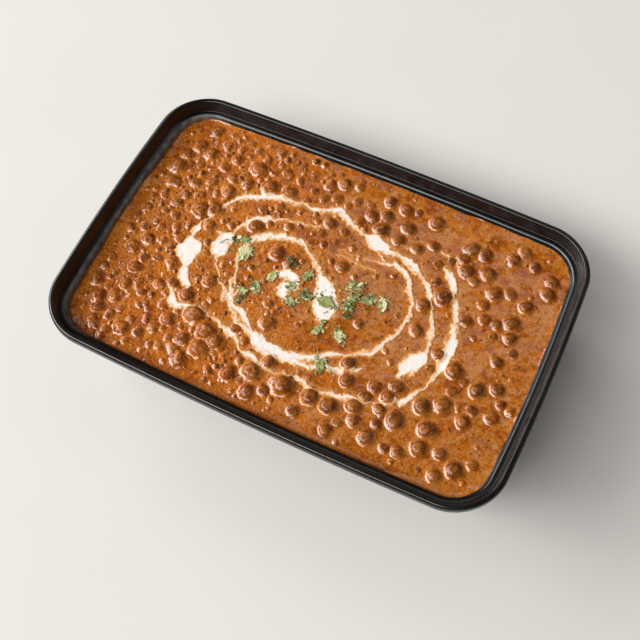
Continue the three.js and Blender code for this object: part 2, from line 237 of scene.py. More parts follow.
def loft_faces(rings: int, count: int) -> list[tuple[int, ...]]:
    """Join rings of equal count, each closed, with a point closing either end.

    Args:
        rings: How many rings there are.
        count: Points in each ring, after the first pole and before the last one.

    Returns:
        Faces that point outwards where the rings run anticlockwise and climb.
    """
    faces: list[tuple[int, ...]] = []
    last = 1 + rings * count
    for step in range(count):
        after = (step + 1) % count
        faces.append((0, 1 + after, 1 + step))
        for ring in range(rings - 1):
            low = 1 + ring * count
            high = low + count
            faces.append((low + step, low + after, high + after, high + step))
        top = 1 + (rings - 1) * count
        faces.append((top + step, top + after, last))
    return faces


# ---- Nodes ----


class Board:
    """Adds nodes to a tree and joins them."""

    def __init__(self, tree: Tree) -> None:
        """Take the tree to work on. A material's board is told its place next."""
        self.tree = tree
        self.here: Socket | None = None

    def add(self, kind: str, **settings: object) -> bpy.types.Node:
        """Add a node and set its options."""
        node = self.tree.nodes.new(kind)
        for name, value in settings.items():
            setattr(node, name, value)
        return node

    def feed(self, node: bpy.types.Node, given: dict) -> None:
        """Give a node's inputs, by name or number, a value or another node's output."""
        for key, value in given.items():
            if isinstance(value, Socket):
                self.tree.links.new(value, node.inputs[key])
            elif value is not None:
                node.inputs[key].default_value = value

    def step(self, kind: str, given: dict, **settings: object) -> Socket:
        """Add a node, set its options, feed its inputs and return its first output."""
        node = self.add(kind, **settings)
        self.feed(node, given)
        return node.outputs[0]

    def math(self, operation: str, *values: object) -> Socket:
        """Return the result of a sum on one to three values."""
        return self.step("ShaderNodeMath", dict(enumerate(values)), operation=operation)

    def vector(self, operation: str, first: object, second: object) -> Socket:
        """Return the result of a sum on two vectors, or on a vector and a scale."""
        other = "Scale" if operation == "SCALE" else 1
        return self.step("ShaderNodeVectorMath", {0: first, other: second}, operation=operation)

    def product(self, first: object, second: object) -> Socket:
        """Return two values multiplied."""
        return self.math("MULTIPLY", first, second)

    def weigh(self, base: object, *parts: tuple[Socket, float]) -> Socket:
        """Return a base with each part added at its weight."""
        total = base
        for value, weight in parts:
            total = self.math("MULTIPLY_ADD", value, weight, total)
        return total

    def fade(self, value: Socket, start: float, end: float) -> Socket:
        """Return a straight change from start, where value is 0, to end, where it is 1."""
        return self.weigh(start, (value, end - start))

    def ease(self, value: Socket, low: object, high: object, start: float = 0.0,
             end: float = 1.0) -> Socket:
        """Return a smooth change from start, where value is low, to end, where it is high."""
        given = dict(enumerate((value, low, high, start, end)))
        return self.step("ShaderNodeMapRange", given, interpolation_type="SMOOTHSTEP")

    def attribute(self, name: str) -> Socket:
        """Return a number stored on the piece."""
        return self.add("ShaderNodeAttribute", attribute_name=name).outputs["Fac"]

    def place(self) -> Socket:
        """Return the place on the object, in millimetres."""
        coordinates = self.add("ShaderNodeTexCoord")
        return self.vector("SCALE", coordinates.outputs["Object"], 1 / MM)

    def mix(self, share: Socket, first: object, second: object) -> Socket:
        """Return a blend of two colours."""
        node = self.add("ShaderNodeMix", data_type="RGBA")
        self.feed(node, {0: share, 6: self.opaque(first), 7: self.opaque(second)})
        return node.outputs[2]

    def relief(self, height: Socket, depth: float, under: Socket | None = None) -> Socket:
        """Return a normal bent by a height from 0 to 1 that stands for a depth in millimetres."""
        given = {"Distance": depth * MM, "Height": height, "Normal": under}
        return self.step("ShaderNodeBump", given)

    @staticmethod
    def opaque(colour: object) -> object:
        """Return a colour of three numbers with its fourth, and a socket as it is."""
        return colour if isinstance(colour, Socket) else (*colour, 1.0)


def start_material(name: str) -> tuple[Material, Board, bpy.types.Node]:
    """Start a material and return it with a board on its nodes and its surface shader."""
    material = bpy.data.materials.new(name)
    material.use_nodes = True
    material.node_tree.nodes.clear()
    board = Board(material.node_tree)
    shader = board.add("ShaderNodeBsdfPrincipled")
    board.feed(board.add("ShaderNodeOutputMaterial"), {"Surface": shader.outputs[0]})
    board.here = board.place()
    return material, board, shader


def start_tree(name: str, inputs: dict[str, str]) -> tuple[Tree, Board, bpy.types.NodeOutputs]:
    """Start a Geometry Nodes tree and return it with its board and what it is given."""
    tree = bpy.data.node_groups.new(name, "GeometryNodeTree")
    for title, kind in {"Geometry": "Geometry", **inputs, "Finish": "Material"}.items():
        tree.interface.new_socket(title, in_out="INPUT", socket_type=f"NodeSocket{kind}")
    tree.interface.new_socket("Geometry", in_out="OUTPUT", socket_type="NodeSocketGeometry")
    board = Board(tree)
    return tree, board, board.add("NodeGroupInput").outputs


def end_tree(board: Board, made: Socket, finish: Socket) -> None:
    """Make what a tree has made real, lay its finish on it and hand it out."""
    real = board.step("GeometryNodeRealizeInstances", {0: made})
    dressed = board.step("GeometryNodeSetMaterial", {"Geometry": real, "Material": finish})
    board.feed(board.add("NodeGroupOutput"), {0: dressed})


def run_tree(piece: Piece, tree: Tree, given: dict[str, object]) -> None:
    """Run a tree on a piece and keep what it makes as the piece's plain mesh.

    Args:
        piece: The piece, whose mesh holds what the tree starts from.
        tree: The tree.
        given: A value for each of the tree's inputs, by name.
    """
    modifier = piece.modifiers.new(tree.name, "NODES")
    modifier.node_group = tree
    for item in tree.interface.items_tree:
        if item.item_type == "SOCKET" and item.in_out == "INPUT" and item.name in given:
            modifier[item.identifier] = given[item.name]
    graph = bpy.context.evaluated_depsgraph_get()
    made = bpy.data.meshes.new_from_object(piece.evaluated_get(graph),
                                           preserve_all_data_layers=True, depsgraph=graph)
    piece.modifiers.clear()
    old = piece.data
    made.name = old.name + "_mesh"
    piece.data = made
    bpy.data.meshes.remove(old)


# ---- Finishes ----


@dataclass(frozen=True)
class Noise:
    """A recipe for noise: how wide its blotches are, in millimetres, and how ragged."""

    size: float
    detail: float = 2.0
    roughness: float = 0.5
    distortion: float = 0.0

    def on(self, board: Board, place: Socket | None = None) -> Socket:
        """Return the noise from 0 to 1, at the place on the object unless another is given."""
        return board.step("ShaderNodeTexNoise", {
            "Vector": place or board.here,
            "Scale": 1.0 / self.size,
            "Detail": self.detail,
            "Roughness": self.roughness,
            "Distortion": self.distortion,
        })


@dataclass(frozen=True)
class Band:
    """A smooth change: where it begins and ends, and its values there."""

    begin: float
    end: float
    low: float = 0.0
    high: float = 1.0

    def across(self, board: Board, value: Socket) -> Socket:
        """Return the change at a value."""
        return board.ease(value, self.begin, self.end, self.low, self.high)


@dataclass(frozen=True)
class BlackPlastic:
    """Satin black polypropylene, streaked by its mould, with a grey haze on the inner wall over
    the stew that is partly steam and partly a painted sheen.
    """

    colour: Colour = (0.0040, 0.0042, 0.0050)
    worn: Colour = (0.010, 0.010, 0.011)
    # grey painted on the inner wall at the left end: partly a steam haze, partly a painted sheen
    # where the wall would catch light
    haze_and_sheen: Colour = (0.155, 0.140, 0.134)
    roughness: float = 0.11
    cloud_dulls: float = 0.16
    haze_and_sheen_dulls: float = 0.2
    grain_dulls: float = 0.05
    refraction: float = 1.5
    cloud: Noise = Noise(14.0, 4.0, 0.6)
    streak: Noise = Noise(0.9, 3.0, 0.6)
    stretch: Triple = (0.12, 0.12, 1.0)
    grain: Noise = Noise(0.28, 2.0, 0.6)
    haze_patches: Noise = Noise(3.0, 3.0, 0.6)
    wear: Band = Band(0.42, 0.72)
    haze_patch_band: Band = Band(0.35, 0.6, 0.45, 1.0)
    streak_depth: float = 0.012
    grain_depth: float = 0.006

    def build(self) -> Material:
        """Return the material."""
        material, board, shader = start_material("black_plastic")
        cloud = self.cloud.on(board)
        grain = self.grain.on(board)
        streak = self.streak.on(board, board.vector("MULTIPLY", board.here, self.stretch))
        plain = board.mix(self.wear.across(board, cloud), self.colour, self.worn)
        # mask of the grey haze, partly steam and partly painted sheen, broken into patches
        patchy = self.haze_patch_band.across(board, self.haze_patches.on(board))
        hazed_and_sheened = board.product(board.attribute("haze_and_sheen"), patchy)
        fine = board.relief(grain, self.grain_depth)
        board.feed(shader, {
            "Base Color": board.mix(hazed_and_sheened, plain, self.haze_and_sheen),
            "Roughness": board.weigh(self.roughness, (cloud, self.cloud_dulls),
                                     (hazed_and_sheened, self.haze_and_sheen_dulls), (grain, self.grain_dulls)),
            "IOR": self.refraction,
            "Normal": board.relief(streak, self.streak_depth, fine),
        })
        return material


@dataclass(frozen=True)
class PouredCream:
    """The colours that cream takes from its edge, where it runs into the gravy, to its middle."""

    stained: Colour = (0.56, 0.20, 0.034)
    mixed: Colour = (0.74, 0.43, 0.20)
    white: Colour = (0.83, 0.76, 0.715)
    torn: Noise = Noise(0.8, 4.0, 0.72, 0.5)
    ragged: float = 2.9
    stain_band: Band = Band(1.4, 0.05, 0.0, 0.8)
    mixed_band: Band = Band(0.40, -0.45)
    white_band: Band = Band(-0.15, -1.15)

    def over(self, board: Board, under: object) -> tuple[Socket, Socket]:
        """Lay the cream's colours over a colour.

        Args:
            board: The board to add to.
            under: The colour beside the cream.

        Returns:
            The colour, and how much cream there is from 0 to 1.
        """
        half = 0.5 * self.ragged
        shift = board.fade(self.torn.on(board), -half, half)
        depth = board.math("ADD", board.attribute("cream_distance"), shift)
        colour = board.mix(self.stain_band.across(board, depth), under, self.stained)
        colour = board.mix(self.mixed_band.across(board, depth), colour, self.mixed)
        thick = self.white_band.across(board, depth)
        return board.mix(thick, colour, self.white), thick


@dataclass(frozen=True)
class Gravy:
    """Thick tomato and butter gravy, blotched, grainy with spice and wet on top.

    A pair of numbers holds a value where the stew is smooth and one where it is grainy.
    """

    deep: Colour = (0.255, 0.052, 0.0005)
    middle: Colour = (0.415, 0.116, 0.004)
    # pale tone of the pale grit and of the milky patches, which are partly a painted sheen
    pale: Colour = (0.50, 0.178, 0.030)
    oily: Colour = (0.49, 0.122, 0.001)
    over_lentil: Colour = (0.090, 0.019, 0.001)
    bare_skin: Colour = (0.028, 0.008, 0.001)
    grain: Colour = (0.050, 0.011, 0.001)
    cream: PouredCream = PouredCream()
    broad: Noise = Noise(9.0, 3.0, 0.55, 0.6)
    middling: Noise = Noise(2.1, 3.0, 0.6, 0.5)
    fine: Noise = Noise(0.62, 2.0, 0.6)
    oil: Noise = Noise(3.4, 2.0, 0.5, 0.7)
    torn: Noise = Noise(0.9, 3.0, 0.65)
    grit: Noise = Noise(0.42, 2.0, 0.6)
    lumps: Noise = Noise(1.3, 2.0, 0.55)
    broad_share: float = 0.55
    middling_share: float = 0.6
    middle_band: Band = Band(0.42, 0.62)
    # the milky patches are partly cream and partly a painted sheen, and they grow where the stew
    # is smooth
    milky_sheen_begin: Pair = (0.49, 0.59)
    milky_sheen_width: float = 0.12
    milky_sheen_share: float = 0.9
    oily_band: Band = Band(0.52, 0.66, 0.0, 0.75)
    skin_shows: Pair = (1.25, 0.85)
    skin_band: Band = Band(0.62, 0.38, 0.45, 1.0)
    torn_band: Band = Band(0.54, 0.64, 0.0, 0.8)
    dark_grit: Band = Band(0.50, 0.62, 0.0, 0.45)
    pale_grit: Band = Band(0.46, 0.36, 0.0, 0.42)
    grain_band: Band = Band(0.57, 0.68, 0.0, 0.80)
    grain_shows: Pair = (0.4, 1.0)
    tone: Pair = (0.79, 1.13)
    roughness: float = 0.26
    patch_dulls: float = 0.2
    dome_dulls: float = 0.15
    cream_dulls: float = 0.1
    base_gloss: float = 0.15
    wet_on_cream: float = 0.25
    wet_on_domes: float = 0.45
    film_roughness: float = 0.04
    film_refraction: float = 1.6
    film_band: Band = Band(0.3, 1.0, 0.1, 1.0)
    film_depth: float = 0.16
    lumps_on_cream: float = 0.15
    lumps_show: Pair = (0.25, 1.0)
    lump_depth: float = 0.50
    fine_depth: float = 0.12

    def colour(self, board: Board, grainy: Socket, middling: Socket, fine: Socket) -> Socket:
        """Return the gravy's colour where there is no cream.

        Args:
            board: The board to add to.
            grainy: How grainy the stew is.
            middling: The middling noise.
            fine: The fine noise.

        Returns:
            Blotches from deep to milky, the milky patches partly cream and partly a painted sheen,
            more of them where the stew is smooth, with pools of oil, then skins, grit and grain.
        """
        broad = board.product(self.broad.on(board), self.broad_share)
        blotch = board.weigh(broad, (middling, self.middling_share))
        colour = board.mix(self.middle_band.across(board, blotch), self.deep, self.middle)
        # pale milky patches: partly cream in the gravy, partly a painted sheen, more of them where
        # the stew is smooth
        milky_sheen = board.fade(grainy, *self.milky_sheen_begin)
        milky_sheen_full = board.math("ADD", milky_sheen, self.milky_sheen_width)
        milk_and_sheen = board.ease(blotch, milky_sheen, milky_sheen_full, 0.0, self.milky_sheen_share)
        colour = board.mix(milk_and_sheen, colour, self.pale)
        oil = self.oily_band.across(board, self.oil.on(board))
        colour = board.mix(oil, colour, self.oily)
        skin = board.product(board.attribute("lentil_skin"), board.fade(grainy, *self.skin_shows))
        skin = board.product(skin, self.skin_band.across(board, middling))
        colour = board.mix(skin, colour, self.over_lentil)
        torn = self.torn_band.across(board, self.torn.on(board))
        colour = board.mix(board.product(skin, torn), colour, self.bare_skin)
        grit = self.grit.on(board)
        colour = board.mix(self.dark_grit.across(board, grit), colour, self.deep)
        colour = board.mix(self.pale_grit.across(board, grit), colour, self.pale)
        grain = board.product(self.grain_band.across(board, fine),
                              board.fade(grainy, *self.grain_shows))
        colour = board.mix(grain, colour, self.grain)
        return board.vector("SCALE", colour, board.fade(grainy, *self.tone))

    def build(self) -> Material:
        """Return the material."""
        material, board, shader = start_material("dal_gravy")
        grainy = board.attribute("graininess")
        dome = board.attribute("lentil_rise")
        middling = self.middling.on(board)
        fine = self.fine.on(board)
        bare = self.colour(board, grainy, middling, fine)
        colour, cream = self.cream.over(board, bare)
        film = board.product(middling, self.film_band.across(board, grainy))
        calm = board.product(board.fade(cream, 1.0, self.lumps_on_cream),
                             board.fade(grainy, *self.lumps_show))
        lumpy = board.relief(board.product(self.lumps.on(board), calm), self.lump_depth)
        board.feed(shader, {
            "Base Color": colour,
            "Roughness": board.weigh(self.roughness, (middling, self.patch_dulls),
                                     (dome, self.dome_dulls), (cream, self.cream_dulls)),
            "Specular IOR Level": self.base_gloss,
            "Coat Weight": board.product(board.fade(cream, 1.0, self.wet_on_cream),
                                         board.fade(dome, 1.0, self.wet_on_domes)),
            "Coat Roughness": self.film_roughness,
            "Coat IOR": self.film_refraction,
            "Coat Normal": board.relief(film, self.film_depth),
            "Normal": board.relief(board.product(fine, calm), self.fine_depth, lumpy),
        })
        return material


@dataclass(frozen=True)
class CreamFinish:
    """Pouring cream lying on the stew, matt against the oily gravy."""

    base: Colour = (0.40, 0.130, 0.024)
    cream: PouredCream = PouredCream()
    gloss: Band = Band(0.0, 1.0, 0.28, 0.42)
    refraction: float = 1.45
    soft: Noise = Noise(1.6)
    soft_depth: float = 0.12

    def build(self) -> Material:
        """Return the material."""
        material, board, shader = start_material("poured_cream")
        colour, thick = self.cream.over(board, self.base)
        board.feed(shader, {
            "Base Color": colour,
            "Roughness": self.gloss.across(board, thick),
            "IOR": self.refraction,
            "Normal": board.relief(self.soft.on(board), self.soft_depth),
        })
        return material


@dataclass(frozen=True)
class LentilSkin:
    """Black lentil skin boiled to brown, smeared with gravy."""

    name: str = "lentil_skin"
    dark: Colour = (0.085, 0.027, 0.008)
    light: Colour = (0.185, 0.058, 0.012)
    smear: Colour = (0.34, 0.095, 0.006)
    patch: Noise = Noise(1.7, 3.0, 0.6)
    smear_band: Band | None = Band(0.46, 0.66, 0.0, 0.85)
    gloss: Band = Band(0.3, 0.7, 0.32, 0.5)
    shine: float = 0.2
    refraction: float = 1.5
    wrinkles: Noise = Noise(0.7, 3.0)
    wrinkle_depth: float = 0.10

    def build(self) -> Material:
        """Return the material."""
        material, board, shader = start_material(self.name)
        patch = self.patch.on(board)
        smeared = self.smear_band.across(board, patch) if self.smear_band else patch
        tone = board.mix(board.attribute("shade"), self.dark, self.light)
        board.feed(shader, {
            "Base Color": board.mix(smeared, tone, self.smear),
            "Roughness": self.gloss.across(board, patch),
            "Specular IOR Level": self.shine,
            "IOR": self.refraction,
            "Normal": board.relief(self.wrinkles.on(board), self.wrinkle_depth),
        })
        return material


@dataclass(frozen=True)
class CrumbFinish(LentilSkin):
    """Crumbs of lentil and onion sunk in the gravy and coated by it."""

    name: str = "lentil_crumb"
    dark: Colour = (0.15, 0.036, 0.003)
    light: Colour = (0.45, 0.14, 0.010)
    smear: Colour = (0.15, 0.036, 0.003)
    patch: Noise = Noise(0.8)
    smear_band: Band | None = None
    gloss: Band = Band(0.3, 0.7, 0.12, 0.3)
    shine: float = 0.5
    refraction: float = 1.46
    wrinkles: Noise = Noise(0.8)
    wrinkle_depth: float = 0.06


@dataclass(frozen=True)
class SpiceFinish(CrumbFinish):
    """Specks of toasted spice and lentil skin."""

    name: str = "toasted_spice"
    dark: Colour = (0.022, 0.009, 0.004)
    light: Colour = (0.120, 0.034, 0.008)
    smear: Colour = (0.120, 0.034, 0.008)
    patch: Noise = Noise(0.3, 1.0)
    gloss: Band = Band(0.3, 0.7, 0.5, 0.7)
    refraction: float = 1.35
    wrinkles: Noise = Noise(0.3, 1.0)
    wrinkle_depth: float = 0.03


@dataclass(frozen=True)
class Herb:
    """Chopped coriander leaf, dull above and paler along its veins."""

    name: str = "coriander_leaf"
    dark: Colour = (0.062, 0.068, 0.010)
    middle: Colour = (0.250, 0.268, 0.080)
    pale: Colour = (0.60, 0.60, 0.32)
    mottle: Noise = Noise(0.8, 3.0, 0.65)
    mottle_share: float = 0.7
    middle_band: Band = Band(0.05, 0.45)
    pale_band: Band = Band(0.45, 0.95)
    vein_band: Band = Band(0.10, 0.0, 0.0, 0.45)
    gloss: Band = Band(0.3, 0.7, 0.42, 0.65)
    translucence: float = 0.15
    translucent_depth: float = 0.3
    mottle_depth: float = 0.16
    fine: Noise = Noise(0.35)
    fine_depth: float = 0.05

    def build(self) -> Material:
        """Return the material."""
        material, board, shader = start_material(self.name)
        mottle = self.mottle.on(board)
        half = 0.5 * self.mottle_share
        shade = board.math("ADD", board.attribute("shade"), board.fade(mottle, -half, half))
        colour = board.mix(self.middle_band.across(board, shade), self.dark, self.middle)
        colour = board.mix(self.pale_band.across(board, shade), colour, self.pale)
        vein = self.vein_band.across(board, board.attribute("vein"))
        fine = board.relief(self.fine.on(board), self.fine_depth)
        board.feed(shader, {
            "Base Color": board.mix(vein, colour, self.pale),
            "Roughness": self.gloss.across(board, mottle),
            "Subsurface Weight": self.translucence,
            "Subsurface Scale": self.translucent_depth * MM,
            "Normal": board.relief(mottle, self.mottle_depth, fine),
        })
        return material


@dataclass(frozen=True)
class PaleFloor:
    """A plain pale studio floor."""

    colour: Colour = (0.66, 0.645, 0.625)
    lighter: Colour = (0.69, 0.675, 0.655)
    soft: Noise = Noise(60.0, 3.0)
    roughness: float = 0.75
    shine: float = 0.15

    def build(self) -> Material:
        """Return the material."""
        material, board, shader = start_material("studio_floor")
        board.feed(shader, {
            "Base Color": board.mix(self.soft.on(board), self.colour, self.lighter),
            "Roughness": self.roughness,
            "Specular IOR Level": self.shine,
        })
        return material


# ---- Tub ----


@dataclass(frozen=True)
class TubShape:
    """Sizes of the moulded tub and the outline that its rings follow."""

    length: float = 172.0
    width: float = 113.6
    height: float = 40.0
    corner_radius: float = 17.3
    end_bow: float = 1.9
    side_bow: float = 1.5
    lip_width: float = 2.0
    lip_depth: float = 3.4
    step_inset: float = 3.2
    ledge_depth: float = 4.5
    wall: float = 0.8
    wall_slope: float = 0.2
    wall_inset: float = 5.7
    wall_top: float = 34.0
    floor_thickness: float = 1.0
    floor_round: float = 4.2
    corner_tighten: float = 0.45
    corner_steps: int = 18
    long_steps: int = 26
    short_steps: int = 18

    def half_sizes(self, inset: float) -> Pair:
        """Return half the length and half the width of the outline at its corners."""
        return (self.length / 2 - self.end_bow - inset, self.width / 2 - self.side_bow - inset)

    def corner(self, inset: float) -> float:
        """Return the corner radius at an inset from the rim's outer edge."""
        rim = min(inset, self.wall_inset)
        return self.corner_radius - rim - self.corner_tighten * (inset - rim)

    def inner_inset(self, z: float) -> float:
        """Return the inset of the wall's inner face at a height."""
        return self.wall_inset + self.wall_slope * (self.wall_top - z)

    def bowed(self, x: Array, y: Array, inset: float) -> tuple[Array, Array]:
        """Return places on a straight-sided outline at an inset, swollen to the bowed sides."""
        half_length, half_width = self.half_sizes(inset)
        along = x * (1 + (self.end_bow / half_length) * (1 - (y / half_width) ** 2))
        across = y * (1 + (self.side_bow / half_width) * (1 - (x / half_length) ** 2))
        return along, across

    def ring(self, inset: float, z: float) -> Array:
        """Return the points of the outline at an inset and a height.

        Args:
            inset: Distance in from the rim's outer edge.
            z: Height of the ring.

        Returns:
            Points anticlockwise from above, one row each.
        """
        half_length, half_width = self.half_sizes(inset)
        radius = self.corner(inset)
        plan: list[Pair] = []
        for corner, (sign_x, sign_y) in enumerate(((1, 1), (-1, 1), (-1, -1), (1, -1))):
            x = sign_x * (half_length - radius)
            y = sign_y * (half_width - radius)
            for step in range(self.corner_steps + 1):
                angle = (corner + step / self.corner_steps) * math.pi / 2
                plan.append((x + radius * math.cos(angle), y + radius * math.sin(angle)))
            along_x = corner % 2 == 0
            steps = self.long_steps if along_x else self.short_steps
            reach = (half_length if along_x else half_width) - radius
            for step in range(1, steps):
                along = reach * (1 - 2 * step / steps)
                if along_x:
                    plan.append((sign_y * along, sign_y * half_width))
                else:
                    plan.append((sign_x * half_length, -sign_x * along))
        straight = np.array(plan)
        x, y = self.bowed(straight[:, 0], straight[:, 1], inset)
        return np.column_stack((x, y, np.full(len(x), z)))


@dataclass
class Tub:
    """The black tub: rolled lip, step and lid ledge, sloping wall and rounded floor."""

    shape: TubShape = TubShape()
    round_steps: int = 6
    skirt_wall: float = 0.1
    step_wall: float = 0.75
    ledge_fall: float = 0.05
    rim_round: float = 1.25
    lip_round: float = 0.7
    ledge_round: float = 2.2
    under_round: float = 0.9
    skirt_round: float = 0.25
    crease: float = 0.35
    middle_inset: float = 30.0
    # x range at the left end where the inner wall gets its grey haze, partly steam and partly
    # painted sheen
    hazed_and_sheened: Pair = (-58.0, -76.0)

    def profile(self) -> list[Pair]:
        """Return inset and height along the section, up the outside and down the inside."""
        shape = self.shape
        ledge = shape.height - shape.ledge_depth
        under = ledge - shape.wall
        skirt = shape.height - shape.lip_depth
        corners = [
            (shape.inner_inset(0.0) - shape.wall, 0.0, shape.floor_round + shape.wall),
            (shape.inner_inset(under) - shape.wall, under, self.under_round),
            (shape.step_inset - self.step_wall, under, self.crease),
            (shape.lip_width - self.skirt_wall, skirt, self.skirt_round),
            (0.0, skirt, self.crease),
            (0.0, shape.height, self.rim_round),
            (shape.lip_width, shape.height, self.lip_round),
            (shape.step_inset, ledge, self.crease),
            (shape.inner_inset(ledge), ledge - self.ledge_fall, self.ledge_round),
            (shape.inner_inset(shape.floor_thickness), shape.floor_thickness, shape.floor_round),
        ]
        ends = [(self.middle_inset, 0.0), (self.middle_inset, shape.floor_thickness)]
        chain = [ends[0], *[(inset, z) for inset, z, _ in corners], ends[1]]
        section = [ends[0]]
        for number, (_, _, radius) in enumerate(corners, start=1):
            section += self.rounded(chain[number - 1], chain[number], chain[number + 1], radius)
        section.append(ends[1])
        return section

    def rounded(self, before: Pair, corner: Pair,
                after: Pair, radius: float) -> list[Pair]:
        """Round one corner of the section.

        Args:
            before: The corner before.
            corner: The corner itself.
            after: The corner after.
            radius: Radius of the rounding.

        Returns:
            Points from one tangent point to the other.
        """
        here = np.array(corner)
        back = np.array(before) - here
        ahead = np.array(after) - here
        back /= np.linalg.norm(back)
        ahead /= np.linalg.norm(ahead)
        half = math.acos(float(np.clip(back @ ahead, -1, 1))) / 2
        middle = (back + ahead) / np.linalg.norm(back + ahead)
        centre = here + middle * radius / math.sin(half)
        start = here + back * radius / math.tan(half) - centre
        end = here + ahead * radius / math.tan(half) - centre
        swing = math.pi - 2 * half
        points: list[Pair] = []
        for step in range(self.round_steps + 1):
            share = step / self.round_steps
            spot = math.sin((1 - share) * swing) * start + math.sin(share * swing) * end
            points.append(tuple(centre + spot / math.sin(swing)))
        return points

    def build(self) -> Piece:
        """Make and dress the tub."""
        section = self.profile()
        rings = [self.shape.ring(inset, z) for inset, z in section]
        first = np.array([[0.0, 0.0, section[0][1]]])
        last = np.array([[0.0, 0.0, section[-1][1]]])
        points = np.concatenate([first, *rings, last])
        piece = make_piece("takeaway_tub", points, loft_faces(len(rings), len(rings[0])))
        inner_rings = 2 * (self.round_steps + 1)
        inside = np.arange(len(rings)) > len(rings) - inner_rings
        on_wall = np.concatenate(([0.0], np.repeat(inside, len(rings[0])), [0.0]))
        # paint the grey haze on the left end of the inner wall: partly steam, partly a painted
        # sheen
        paint(piece, "haze_and_sheen", on_wall * smoothstep(*self.hazed_and_sheened, points[:, 0]))
        dress(piece, BlackPlastic().build())
        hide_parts("tub")
        return piece


# ---- Poured cream ----


@dataclass(frozen=True)
class Strokes:
    """The cream as poured: rings round the middle with thicker pools, and a few stray lines."""

    rings: tuple = (
        ((5.2, -9.2, 3.4), (5.2, -5, 8.8), (3, 0, 7.8), (0.2, 3.6, 4.4), (-4, 7, 1.6),
         (-14, 14.8, 2), (-24, 13.8, 2.6), (-30.4, 9.4, 2.2), (-32.6, 0, 1.4),
         (-29.4, -9.5, 1.2), (-27.6, -16, 2.8), (-20.6, -20, 3), (-14, -24.2, 1.7),
         (-9, -27, 4.6), (0, -27.2, 4), (8, -24.4, 2.8), (14.6, -20.8, 2.2),
         (21, -17.2, 1.1), (27, -13.4, 2.2), (31.2, -4.4, 1.6), (32.8, 4.6, 1.7),
         (29.6, 12.6, 1.8), (24, 19.6, 2.4), (13, 19.6, 1.1)),
        ((-11, 23.4, 0.9), (-24, 21, 1.1), (-33.6, 17, 2.6), (-38.6, 10.6, 1.4),
         (-39.6, 7.6, 1.7), (-40.6, 4.2, 6), (-40.9, 0, 6.2), (-39.4, -3.8, 1.3),
         (-31, -14, 1.2), (-21.6, -22.3, 1.4), (-10, -27, 3), (2, -28.4, 2.6),
         (15, -26, 2.3), (26, -21, 1.3)),
        ((38.8, -17.6, 2.4), (41.4, -11.4, 6.2), (43.2, -5, 1.3), (42.6, 1.6, 2.1),
         (39, 11, 1.3), (35.4, 16, 2.9), (31, 20, 1.5), (25.4, 23.2, 2.8), (18, 24.6, 1.6),
         (10.4, 26.6, 5.2), (5, 27.8, 1.5), (-1, 29.4, 2.1), (-8, 32.8, 2.8),
         (-12.4, 31, 1.6), (-15.4, 30, 2.6), (-20, 29.6, 1.2), (-28, 29, 2.3),
         (-37, 26.4, 2.8), (-44.4, 21.6, 2.1), (-49, 12.4, 1.1), (-51, 7.4, 1.2),
         (-52, 3.2, 3.4), (-51.8, 0.2, 1.4), (-50.6, -4.4, 8), (-48.6, -8.4, 5.2),
         (-48.4, -10.8, 2.4), (-46.8, -15, 4.4), (-43.2, -18.4, 1.2)),
        ((-47.6, -21.8, 1.8), (-46, -25, 3.4), (-41.6, -26.2, 2.6), (-36.6, -24.2, 1.4),
         (-28, -25.6, 1), (-21, -28, 2.3), (-14.4, -31.6, 1.3), (-10.4, -32.9, 3.2),
         (-5, -34.3, 1.1), (5, -33.8, 1), (9, -33.5, 1.9), (16, -34.6, 0.9),
         (23.4, -33, 2), (35, -30.6, 1), (43.4, -25.6, 2.5), (48, -18, 1.3),
         (50.4, -10, 2.6), (50.6, -1.4, 4.2), (48.6, 7.6, 1.5), (46.4, 14.2, 2.6),
         (44.6, 17.8, 1.4), (41.8, 22.4, 3.5), (37.4, 27, 1.6)),
        ((-17.4, -0.6, 1.6), (-12.6, 0.6, 4.8), (-8.8, -0.8, 4.4), (-11.8, -5.4, 3.8),
         (-8, -7.6, 2.4)),
    )
    stray: tuple = (
        ((16, 21, 0.9), (13, 23.4, 1.2), (10, 25.6, 1)),
        ((13, 19.4, 0.5), (8, 18, 0.3), (0, 17.6, 0.2)),
        ((0, 15.6, 0.2), (8, 15.4, 0.3), (15, 15, 0.2)),
        ((33.6, 32.4, 0.5), (37.4, 31.6, 1.0), (42, 29.4, 0.7), (46.4, 26.4, 0.4)),
        ((13, 29.4, 0.3), (22, 29, 0.2)),
        ((-26, -12.4, 1), (-27.6, -14.6, 2)),
    )
    curve_steps: int = 60

    def curve(self, stroke: tuple, spacing: float) -> Array:
        """Return places and widths along a smooth curve through a stroke's points.

        Args:
            stroke: x, y and width at each point.
            spacing: Distance between the places.

        Returns:
            One row for each place: x, y and width.
        """
        points = np.array(stroke, dtype=float)
        ends = (2 * points[0] - points[1], 2 * points[-1] - points[-2])
        chain = np.vstack((ends[0], points, ends[1]))
        spans = np.linalg.norm(np.diff(chain, axis=0), axis=1) ** 0.5
        share = np.linspace(0, 1, self.curve_steps, endpoint=False)[:, None]
        dense = []
        for i in range(1, len(chain) - 2):
            before, start, end, after = chain[i - 1:i + 3]
            t0, t1, t2 = spans[i - 1:i + 2]
            out = (start - before) / t0 - (end - before) / (t0 + t1) + (end - start) / t1
            into = (end - start) / t1 - (after - start) / (t1 + t2) + (after - end) / t2
            out, into = out * t1, into * t1
            square = -3 * start + 3 * end - 2 * out - into
            cube = 2 * start - 2 * end + out + into
            dense.append(start + out * share + square * share ** 2 + cube * share ** 3)
        path = np.vstack((*dense, points[-1:]))
        run = np.concatenate(([0], np.cumsum(np.linalg.norm(np.diff(path, axis=0), axis=1))))
        count = math.ceil(run[-1] / spacing)
        where = np.linspace(0, run[-1], count + 1)
        return np.column_stack([np.interp(where, run, path[:, axis]) for axis in range(3)])

